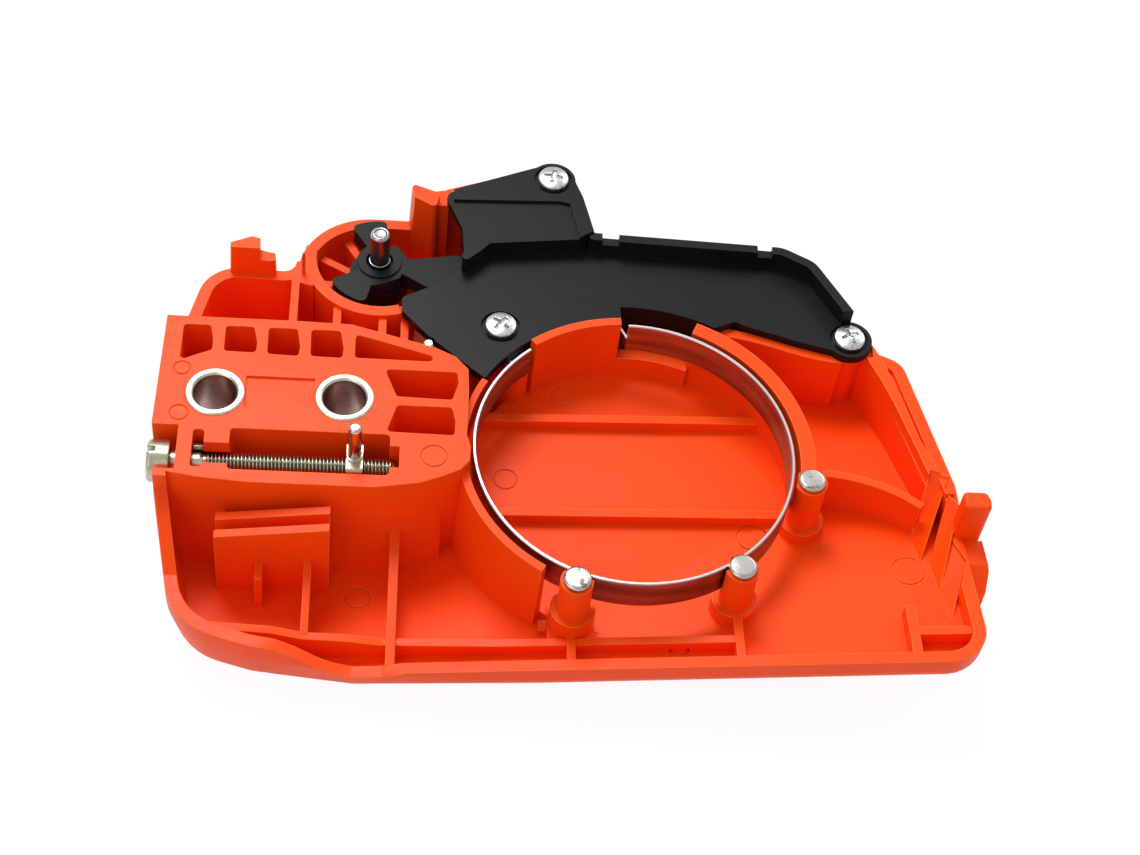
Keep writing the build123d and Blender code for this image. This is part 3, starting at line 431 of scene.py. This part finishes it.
def turned_steel(name, colour, centre, spacing, roughness=0.2):
    """Lathe-turned steel: rings round the axis from the tool's feed, drawn five times as coarse as a
    real feed so that they show, over a bright smooth face."""
    material, tree = new_material(name)
    place = add_node(tree, "TexCoord").outputs["Object"]
    turns = maths(tree, "MULTIPLY", radial_distance(tree, place, centre), tau / spacing)
    smear = add_node(tree, "TexNoise", Vector=place, Scale=1 / (2 * MM), Detail=3.0)
    base = hex_colour(colour)
    body = ramp(tree, smear.outputs["Fac"], ((0.32, shaded(base, 0.3)), (0.41, base)))
    rough = add_node(tree, "MapRange", Value=smear.outputs["Fac"], To_Min=roughness - 0.02,
                     To_Max=roughness + 0.08)
    bump = add_node(tree, "Bump", Strength=0.12, Distance=0.01 * MM, Height=maths(tree, "SINE", turns))
    shader = add_node(tree, "BsdfPrincipled", Base_Color=body, Metallic=1.0,
                      Roughness=rough.outputs["Result"], Normal=bump.outputs["Normal"])
    close_material(tree, shader)
    return material


def spring_steel(name, colour, centre):
    """Rolled strip: long streaks along its length from rolling, bluish brown where it was tempered, and bare
    bright steel on the shear-cut edge that faces up, which is also a painted highlight: only faces pointing up get
    it."""
    material, tree = new_material(name)
    place = add_node(tree, "TexCoord").outputs["Object"]
    stretched = add_node(tree, "Mapping", Vector=place, Location=tuple(-c for c in centre),
                         Scale=(1.0, 1.0, 14.0))
    streaks = add_node(tree, "TexNoise", Vector=stretched.outputs["Vector"], Scale=1 / (30 * MM), Detail=3.0)
    base = hex_colour(colour)
    tempered = ramp(tree, streaks.outputs["Fac"], ((0.35, shaded(base, (0.36, 0.34, 0.36))),
                                                   (0.65, shaded(base, (0.70, 0.66, 0.68)))))
    # Painted highlight: faces that point up take the bright bare colour, the downward cut edge does not
    upward = add_node(tree, "SeparateXYZ", Vector=add_node(tree, "NewGeometry").outputs["Normal"])
    sheared_and_lit = add_node(tree, "MapRange", Value=upward.outputs["Z"], From_Min=0.3, From_Max=0.7)
    body = mixed(tree, sheared_and_lit.outputs["Result"], tempered, base)
    rough = add_node(tree, "MapRange", Value=streaks.outputs["Fac"], To_Min=0.24, To_Max=0.40)
    shader = add_node(tree, "BsdfPrincipled", Base_Color=body, Metallic=1.0,
                      Roughness=rough.outputs["Result"])
    close_material(tree, shader)
    return material


def floor_paint(name):
    """Plain white floor. Lamps and soft reflections meet matt white paint. Eye and mirror rays meet a glow
    with a thin coat over it, which keeps the floor white and still takes a faint shadow."""
    material, tree = new_material(name)
    path = add_node(tree, "LightPath")
    seen = maths(tree, "MAXIMUM", path.outputs["Is Camera Ray"], path.outputs["Is Glossy Ray"])
    paint = add_node(tree, "BsdfDiffuse", Color=(0.80, 0.80, 0.80, 1.0))
    thin = add_node(tree, "BsdfDiffuse", Color=(0.12, 0.12, 0.12, 1.0))
    lift = add_node(tree, "Emission", Color=(1.0, 1.0, 1.0, 1.0), Strength=0.92)
    both = add_node(tree, "AddShader", in0=thin.outputs[0], in1=lift.outputs[0])
    mix = add_node(tree, "MixShader", in0=seen, in1=paint.outputs[0], in2=both.outputs[0])
    close_material(tree, mix)
    return material


# -------------------------------------------------------------------------------- pieces
class CoverOperator(bpy.types.Operator):
    """Base of the piece operators."""

    bl_options = {"REGISTER", "UNDO"}

    @property
    def colours(self):
        return bpy.context.scene.cover_colours

    @property
    def sizes(self):
        return bpy.context.scene.cover_sizes


class COVER_OT_orange_housing(CoverOperator):
    """Moulded orange housing"""

    bl_idname = "cover.orange_housing"
    bl_label = "Orange housing"

    def execute(self, context):
        colours, sizes = self.colours, self.sizes
        nylon = moulded_nylon("orange_moulded_nylon", colours.orange, colours.orange_edge_highlight, 0.38,
                              sizes.grain, sizes.moulded_edge)
        carried_over("cover_housing", nylon)
        return {"FINISHED"}


class COVER_OT_black_lid(CoverOperator):
    """Moulded black lid over the brake linkage"""

    bl_idname = "cover.black_lid"
    bl_label = "Black lid"

    def execute(self, context):
        colours, sizes = self.colours, self.sizes
        nylon = moulded_nylon("black_moulded_nylon", colours.black, colours.black_edge_highlight, 0.36,
                              sizes.grain, 0.2 * MM, tint=0.12)
        carried_over("mechanism_cover", nylon)
        return {"FINISHED"}


def cross_recess(x, y, length, width, depth):
    """Depth of a cross recess: two arms with smooth sides that narrow outward, their floor rising with the
    square of the distance from the middle."""

    def arm(along, across):
        reach = np.clip(np.abs(along) / (length / 2), 0, 1)
        half = width / 2 * (1 - 0.3 * reach)
        inside = step_up((half - np.abs(across)) / (0.18 * MM) + 0.5)
        ends = step_up((length / 2 - np.abs(along)) / (0.25 * MM) + 0.5)
        return inside * ends * (1 - 0.6 * reach ** 2)

    return depth * np.maximum(arm(x, y), arm(y, x))


class COVER_OT_lid_screws(CoverOperator):
    """Pan-head screws with a cross recess"""

    bl_idname = "cover.lid_screws"
    bl_label = "Lid screws"

    def execute(self, context):
        """Top: height falls as 1 - (r/R)^2 from the crown, less the recess; side and shank are turned."""
        zinc = plated_steel("bright_zinc_steel", self.colours.bright_zinc, 0.26, blotch_size=0.7 * MM,
                            blotch=0.16, pits=0.4, recess_shade=0.35)
        columns, rim = 144, 0.93     # the crown reaches this part of the head's radius
        angle = np.arange(columns) * tau / columns
        shank, under_crown = 2 * MM, 2.4 * MM
        grids = []
        for turn, (low, high) in enumerate(solid_boxes("cover_screws", SCREW_REACH)):
            centre = middle(low, high)
            head, crown = (high[0] - low[0]) / 2, high[2]
            top_r = np.linspace(0, head * rim, 64)[:, None]
            swing = angle + 0.2 + 0.5 * turn
            x, y = top_r * np.cos(swing), top_r * np.sin(swing)
            z = crown - 0.75 * MM * (top_r / head) ** 2 + 0 * angle
            z = z - cross_recess(x, y, self.sizes.recess_length, 1.05 * MM, 1.25 * MM)
            top = np.stack([top_r * np.cos(angle), top_r * np.sin(angle), z], -1)
            under = crown - under_crown
            side = eased(((head * rim, crown - 0.65 * MM), (head, crown - 1.1 * MM), (head, under),
                          (shank, under), (shank, low[2]), (0, low[2])),
                         (0, 0.5 * MM, 0.2 * MM, 0.3 * MM, 0.3 * MM, 0))
            grid = np.concatenate([top, turned_grid(side[1:], columns)])
            grids.append(grid + np.array((centre[0], centre[1], 0)))
        joined_piece("lid_screws", grids, "cover_screws", zinc, sharp=50)
        return {"FINISHED"}


class COVER_OT_band_pins(CoverOperator):
    """Turned pins that hold the band down"""

    bl_idname = "cover.band_pins"
    bl_label = "Band pins"

    def execute(self, context):
        for number, (low, high) in enumerate(solid_boxes("band_pins", SCREW_REACH)):
            centre = middle(low, high)
            steel = turned_steel(f"turned_pin_steel_{number}", self.colours.turned_steel,
                                 centre, self.sizes.turning)
            head, top = (high[0] - low[0]) / 2, high[2]
            shank, under = 1.5 * MM, top - 1.35 * MM
            profile = eased(((0, top - 0.02 * MM), (head - 0.55 * MM, top), (head, top - 0.40 * MM),
                             (head, under), (shank, under), (shank, low[2]), (0, low[2])),
                            (0, 0.25 * MM, 0.2 * MM, 0.15 * MM, 0.1 * MM, 0.2 * MM, 0))
            turned_piece(f"band_pin_{number}", profile, centre, "band_pins", steel)
        return {"FINISHED"}


class COVER_OT_stud_bushes(CoverOperator):
    """Flanged bushes for the bar studs"""

    bl_idname = "cover.stud_bushes"
    bl_label = "Stud bushes"

    def execute(self, context):
        bore = MOUNT_DIMS["front_stud_hole"]["r_mm"] * MM
        for node in ("front_stud_bush", "rear_stud_bush"):
            low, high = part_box(node)
            flange = (high[0] - low[0]) / 2
            centre, top = middle(low, high), high[2]
            zinc = plated_steel(f"{node}_zinc", self.colours.pale_zinc, 0.28, blotch=0.06,
                                bore=(centre, bore, self.colours.bore_shade_tone))
            body, seat = flange - 1.05 * MM, top - 1.5 * MM
            lead_in, chamfer = 0.55 * MM, 0.35 * MM
            profile = eased(((bore, low[2]), (bore, top - lead_in), (bore + lead_in, top),
                             (flange - chamfer, top), (flange, top - chamfer), (flange, seat),
                             (body, seat), (body, low[2]), (bore, low[2])),
                            (0, 0.3 * MM, 0.2 * MM, 0.2 * MM, 0.2 * MM, 0.05 * MM, 0.05 * MM, 0.2 * MM, 0))
            turned_piece(f"{node}_turned", profile, centre, node, zinc, columns=128)
        return {"FINISHED"}


def strip_along(plan, thickness, low, high):
    """An upright strip's skin along points in plan: at each one a rectangle with its corners cut, which
    reaches half the thickness to either side (Z x tangent) and from low to high."""
    path = np.column_stack([plan, np.zeros(len(plan))])
    tangent = np.gradient(path, axis=0)
    tangent /= np.linalg.norm(tangent, axis=1)[:, None]
    side = np.cross((0, 0, 1.0), tangent)
    half, bevel = thickness / 2, 0.22 * thickness
    across = np.array((-half, -half, -half + bevel, half - bevel, half, half, half - bevel, -half + bevel))
    rise = np.array((0, 1, 1, 1, 1, 0, 0, 0))
    inset = np.array((1, -1, 0, 0, -1, 1, 0, 0)) * bevel
    rings = path[:, None, :] + side[:, None, :] * across[None, :, None]
    rings[:, :, 2] = low * (1 - rise) + high * rise + inset
    ends = [np.repeat(rings[i].mean(0)[None, None], rings.shape[1], 1) for i in (0, -1)]
    return np.concatenate([ends[0], rings, ends[1]])


class COVER_OT_brake_band(CoverOperator):
    """Spring steel band with an eye at each end"""

    bl_idname = "cover.brake_band"
    bl_label = "Brake band"

    def execute(self, context):
        """Two pieces. The strip on the drum's circle and the eye of its fixed end stay with the housing. The
        tongue that leaves its moving end, and the eye bent round the hook pin, stay in place on no body."""
        low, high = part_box("brake_band")
        skin_depth = 0.5 * MM            # from the CAD band's outer face to its middle
        radius = (high[0] - low[0]) / 2 - skin_depth
        centre = np.array(((low[0] + high[0]) / 2, low[1] + radius + skin_depth))
        anchor = middle(*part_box("band_anchor_pin"))[:2]
        hook = middle(*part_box("band_hook_pin"))[:2]
        eye, corner_radius, thick = 2.15 * MM, 0.9 * MM, self.sizes.band_thickness
        bottom, tongue = low[2], low[2] + 3.3 * MM
        strip_from, strip_to = 130.3, 450.3      # degrees round the drum from +X
        tongue_at, tab_at = 89.7, 133.3          # where the tongue and the fixed eye's tab leave it

        def on_circle(degrees):
            return centre + radius * np.array((cos(radians(degrees)), sin(radians(degrees))))

        def round_pin(pin, start):
            angle = radians(start) - np.linspace(0, radians(352), 48)
            return pin + eye * np.stack([np.cos(angle), np.sin(angle)], 1)

        def skin(plan, top):
            return strip_along(plan, thick, bottom, top)

        arc = np.radians(np.linspace(strip_from, strip_to, 260))
        ring = centre + radius * np.stack([np.cos(arc), np.sin(arc)], 1)
        bend = hook + np.array((11.0, 0.1)) * MM
        corner = np.stack([bend + corner_radius * np.array((cos(a) - 1, sin(a)))
                           for a in np.radians(np.linspace(10, 100, 10))])
        leaving = np.linspace(on_circle(tongue_at), corner[0], 6)[:-1]
        running = np.linspace(corner[-1], hook + np.array((0, -eye)), 8)[1:]
        tab_root = on_circle(tab_at)
        toward = tab_root - anchor
        facing = np.degrees(np.arctan2(toward[1], toward[0]))
        tab = np.linspace(tab_root, anchor + toward / np.linalg.norm(toward) * eye, 4)
        fixed = [skin(ring, high[2]), skin(round_pin(anchor, facing), tongue), skin(tab, tongue)]
        drawn = [skin(np.concatenate([leaving, corner, running]), tongue), skin(round_pin(hook, -90), tongue)]
        past_eye = hook + np.array((eye + 1 * MM, 0.1 * MM))
        steel = spring_steel("rolled_spring_steel", self.colours.band_steel, (*centre, 0))
        joined_piece("brake_band_strip", fixed, "brake_band", steel, sharp=25)
        joined_piece("brake_band_tongue", drawn, "brake_band", steel, sharp=25,
                     bend=(BODY_OF["band_hook_pin"], (*bend, bottom), (*past_eye, bottom)))
        return {"FINISHED"}


class COVER_OT_guard_hub(CoverOperator):
    """Black hub and its bright shaft"""

    bl_idname = "cover.guard_hub"
    bl_label = "Guard hub"

    def execute(self, context):
        colours, sizes = self.colours, self.sizes
        nylon = moulded_nylon("black_hub_nylon", colours.black, colours.black_edge_highlight, 0.40,
                              sizes.grain, 0.2 * MM, tint=0.12)
        carried_over("brake_hub", nylon)
        low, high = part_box("hub_shaft")
        place, top, lead_in = middle(low, high), high[2], 0.6 * MM
        shoulder = MOUNT_DIMS["guard_shaft"]
        slim, wide = shoulder["r_mm"] * MM, (high[0] - low[0]) / 2
        step = top - lead_in - shoulder["length_mm"] * MM
        steel = turned_steel("ground_shaft_steel", colours.ground_steel, place, sizes.turning)
        profile = eased(((0, top - 0.5 * MM), (slim - 1.0 * MM, top - 0.45 * MM), (slim - 0.75 * MM, top),
                         (slim - 0.5 * MM, top), (slim, top - lead_in), (slim, step), (wide, step),
                         (wide, low[2]), (0, low[2])),
                        (0, 0.2 * MM, 0.1 * MM, 0.15 * MM, 0.3 * MM, 0.05 * MM, 0.1 * MM, 0.3 * MM, 0))
        turned_piece("hub_shaft_turned", profile, place, "hub_shaft", steel)
        return {"FINISHED"}


class COVER_OT_tension_screw(CoverOperator):
    """Tension screw with its slotted head and thread, and the collar that holds it"""

    bl_idname = "cover.tension_screw"
    bl_label = "Tension screw"

    def execute(self, context):
        """Thread: radius = core + depth * w(p), with p the part of a turn past the helix,
        x / pitch - angle / 2 pi, and w a rounded V, its height fading at both ends."""
        sizes = self.sizes
        zinc = plated_steel("yellow_zinc_steel", self.colours.yellow_zinc, 0.26, blotch=0.12, recess_shade=0.9)
        axis = JOINTS["tension_screw_turn"]["pos_m"]
        low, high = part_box("tension_screw")
        head, start, pitch = high[1] - axis[1], low[0], sizes.thread_pitch
        columns = 96
        angle = np.arange(columns) * tau / columns
        y, z = np.cos(angle), np.sin(angle)

        def slot(radius):
            inside = step_up((sizes.slot_width / 2 - np.abs(radius * y)) / (0.12 * MM) + 0.5)
            return start + inside * 1.9 * MM

        rim, shank, core = 0.45 * MM, 2.45 * MM, 2.0 * MM
        head_length, shank_end, thread_start = 4.8 * MM, 11.2 * MM, 12 * MM
        face_r = np.linspace(0, head - rim, 40)[:, None]
        face = np.stack([slot(face_r), face_r * y, face_r * z], -1)
        side = eased(((head - rim, 0), (head, rim), (head, head_length), (shank, head_length),
                      (shank, shank_end), (core, 11.9 * MM)), (0, 0.3 * MM, 0.3 * MM, 0.2 * MM, 0.3 * MM, 0))
        side_r, side_x = side[1:, :1], start + side[1:, 1:] + 0 * angle
        on_head = side_x < start + head_length - 0.6 * MM
        side_x = np.where(on_head, np.maximum(side_x, slot(head)), side_x)
        body = np.stack([side_x, side_r * y, side_r * z], -1)

        thread_x = np.arange(start + thread_start, high[0] - 0.3 * MM, pitch / 9)[:, None]
        phase = (thread_x / pitch - angle / tau) % 1.0
        wave = np.clip(1.25 * (1 - np.abs(2 * phase - 1)), 0, 1)
        to_end = thread_x[-1] - thread_x
        fade = step_up((thread_x - thread_x[0]) / (1.0 * MM)) * step_up(to_end / (1.2 * MM))
        thread_r = core + sizes.thread_depth * wave * fade - 0.3 * MM * (1 - step_up(to_end / MM))
        thread = np.stack([thread_x + 0 * angle, thread_r * y, thread_r * z], -1)
        tip = np.zeros((1, columns, 3)) + np.array((high[0], 0, 0))
        grid = np.concatenate([face, body, thread, tip]) + np.array((0, axis[1], axis[2]))
        joined_piece("tension_screw_threaded", [grid], "tension_screw", zinc, sharp=60)
        carried_over("tension_screw_collar", zinc)
        return {"FINISHED"}


class COVER_OT_tension_carriage(CoverOperator):
    """Carriage on the tension screw, and its peg"""

    bl_idname = "cover.tension_carriage"
    bl_label = "Tension carriage"

    def execute(self, context):
        zinc = plated_steel("carriage_zinc", self.colours.carriage_zinc, 0.28)
        carried_over("tension_carriage", zinc)
        low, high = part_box("tension_peg")
        place, top = middle(low, high), high[2]
        peg, foot, stem = MOUNT_DIMS["bar_peg"]["r_mm"] * MM, (high[0] - low[0]) / 2, 1.2 * MM
        foot_top, foot_low, chamfer = top - 10 * MM, top - 10.6 * MM, 0.5 * MM
        steel = turned_steel("peg_steel", self.colours.turned_steel, place, self.sizes.turning,
                             roughness=0.12)
        profile = eased(((0, top), (peg - chamfer, top), (peg, top - chamfer), (peg, foot_top),
                         (foot, foot_top), (foot, foot_low), (stem, foot_low), (stem, low[2]), (0, low[2])),
                        (0, 0.25 * MM, 0.3 * MM, 0.1 * MM, 0.2 * MM, 0.1 * MM, 0.1 * MM, 0.2 * MM, 0))
        turned_piece("tension_peg_turned", profile, place, "tension_peg", steel)
        return {"FINISHED"}


class COVER_OT_brake_linkage(CoverOperator):
    """Toggle, slider and pins under the lid"""

    bl_idname = "cover.brake_linkage"
    bl_label = "Brake linkage"

    def execute(self, context):
        plate = plated_steel("pressed_zinc_steel", self.colours.pressed_zinc, 0.32)
        for node in ("knee_lever", "knee_link", "spring_end_seat"):
            carried_over(node, plate)
        iron = plated_steel("sintered_iron", self.colours.sintered, 0.5, blotch_size=0.6 * MM, pits=0.5)
        carried_over("spring_slider", iron)
        for node in ("band_anchor_pin", "band_hook_pin", "knee_pivot_pin", "knee_joint_pin", "slider_pin",
                     "cover_locating_pin"):
            steel = turned_steel(f"{node}_steel", self.colours.turned_steel, middle(*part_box(node)),
                                 self.sizes.turning)
            carried_over(node, steel)
        return {"FINISHED"}


class COVER_OT_brake_spring(CoverOperator):
    """Wound compression spring"""

    bl_idname = "cover.brake_spring"
    bl_label = "Brake spring"

    def execute(self, context):
        """A circle of wire carried on a helix along X whose pitch falls to the wire's own width over the
        first and last turn, as ground ends have."""
        low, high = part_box("brake_spring")
        wire = 1.1 * MM
        mean = (high[1] - low[1]) / 2 - wire
        axis_y, axis_z = middle(low, high)[1:]
        turns, steps, sides = 8.0, 640, 16
        s = np.linspace(0, turns, steps)
        pace = 0.28 + 0.72 * step_up(s) * step_up(turns - s)
        along = np.concatenate([[0], np.cumsum((pace[1:] + pace[:-1]) / 2)])
        x = low[0] + wire + along / along[-1] * (high[0] - low[0] - 2 * wire)
        angle = s * tau
        path = np.stack([x, axis_y + mean * np.cos(angle), axis_z + mean * np.sin(angle)], 1)
        tangent = np.gradient(path, axis=0)
        tangent /= np.linalg.norm(tangent, axis=1)[:, None]
        out = np.stack([0 * angle, np.cos(angle), np.sin(angle)], 1)
        side = np.cross(tangent, out)
        around = np.arange(sides) * tau / sides
        rings = (path[:, None] + wire * (np.cos(around)[None, :, None] * out[:, None]
                                         + np.sin(around)[None, :, None] * side[:, None]))
        ends = [np.repeat(path[i][None, None], sides, 1) for i in (0, -1)]
        grid = np.concatenate([ends[0], rings, ends[1]])
        steel = plated_steel("oiled_spring_wire", self.colours.spring_wire, 0.3, blotch=0.15)
        seat_end, slider_end = (high[0], axis_y, axis_z), (low[0], axis_y, axis_z)
        joined_piece("brake_spring_wound", [grid], "brake_spring", steel, sharp=60,
                     bend=(BODY_OF["spring_slider"], seat_end, slider_end))
        return {"FINISHED"}


class COVER_OT_studio(CoverOperator):
    """Floor, lamps, sky and camera"""

    bl_idname = "cover.studio"
    bl_label = "Studio"

    def execute(self, context):
        studio = context.scene.cover_studio
        scene = context.scene
        half, low = 2.0, CAD_BOX[0][2]
        mesh = bpy.data.meshes.new("studio_floor")
        mesh.from_pydata([(-half, -half, low), (half, -half, low), (half, half, low), (-half, half, low)], [],
                         [(0, 1, 2, 3)])
        mesh.materials.append(floor_paint("white_floor_paint"))
        floor = bpy.data.objects.new("studio_floor", mesh)
        scene.collection.objects.link(floor)

        self.lamp("key_lamp", (-0.20, 0.42, 0.80), 0.45, studio.key_power)
        self.lamp("fill_lamp", (-0.60, -0.55, 0.60), 0.80, studio.fill_power)
        self.lamp("side_lamp", (0.50, 0.60, 0.50), 0.60, studio.fill_power)

        world = bpy.data.worlds.new("white_sky")
        world.use_nodes = True
        tree = world.node_tree
        tree.nodes.clear()
        path = add_node(tree, "LightPath")
        even = add_node(tree, "Background", Color=(1.0, 1.0, 1.0, 1.0), Strength=studio.sky)
        white = add_node(tree, "Background", Color=(1.0, 1.0, 1.0, 1.0), Strength=1.0)
        mix = add_node(tree, "MixShader", in0=path.outputs["Is Camera Ray"], in1=even.outputs[0],
                       in2=white.outputs[0])
        add_node(tree, "OutputWorld", Surface=mix.outputs[0])
        scene.world = world

        camera_data = bpy.data.cameras.new("camera")
        camera_data.lens = studio.lens
        camera_data.sensor_width = 36.0
        camera_data.clip_start = 0.01
        camera = bpy.data.objects.new("camera", camera_data)
        camera.location = studio.camera_place
        camera.rotation_euler = Euler(studio.camera_turn, "XYZ")
        scene.collection.objects.link(camera)
        scene.camera = camera
        scene.view_settings.view_transform = "Standard"
        return {"FINISHED"}

    @staticmethod
    def lamp(name, place, size, power):
        """A round lamp that looks at the origin."""
        data = bpy.data.lights.new(name, "AREA")
        data.shape = "DISK"
        data.size = size
        data.energy = power
        lamp = bpy.data.objects.new(name, data)
        lamp.location = place
        lamp.rotation_euler = (-Vector(place)).to_track_quat("-Z", "Y").to_euler()
        bpy.context.scene.collection.objects.link(lamp)


# --------------------------------------------------------------------------------- panel
PIECES = (
    COVER_OT_orange_housing, COVER_OT_black_lid, COVER_OT_lid_screws, COVER_OT_band_pins,
    COVER_OT_stud_bushes, COVER_OT_brake_band, COVER_OT_guard_hub, COVER_OT_tension_screw,
    COVER_OT_tension_carriage, COVER_OT_brake_linkage, COVER_OT_brake_spring, COVER_OT_studio,
)


class VIEW3D_PT_clutch_cover(bpy.types.Panel):
    """Lists the pieces of the clutch cover"""

    bl_label = "Clutch cover"
    bl_idname = "VIEW3D_PT_clutch_cover"
    bl_space_type = "VIEW_3D"
    bl_region_type = "UI"
    bl_category = "Clutch cover"

    def draw(self, context):
        column = self.layout.column()
        for piece in PIECES:
            column.operator(piece.bl_idname)
        for group in (context.scene.cover_colours, context.scene.cover_sizes, context.scene.cover_studio):
            box = self.layout.box()
            for name in group.bl_rna.properties.keys():
                if name not in {"rna_type", "name"}:
                    box.prop(group, name)


CLASSES = (CoverColours, CoverSizes, StudioSettings, *PIECES, VIEW3D_PT_clutch_cover)


def register():
    for made in CLASSES:
        bpy.utils.register_class(made)
    bpy.types.Scene.cover_colours = bpy.props.PointerProperty(type=CoverColours)
    bpy.types.Scene.cover_sizes = bpy.props.PointerProperty(type=CoverSizes)
    bpy.types.Scene.cover_studio = bpy.props.PointerProperty(type=StudioSettings)


def unregister():
    del bpy.types.Scene.cover_studio
    del bpy.types.Scene.cover_sizes
    del bpy.types.Scene.cover_colours
    for made in reversed(CLASSES):
        bpy.utils.unregister_class(made)


def main():
    """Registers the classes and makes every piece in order."""
    register()
    for piece in PIECES:
        group, name = piece.bl_idname.split(".")
        getattr(getattr(bpy.ops, group), name)()
    bpy.context.view_layer.update()


if __name__ == "__main__":
    main()
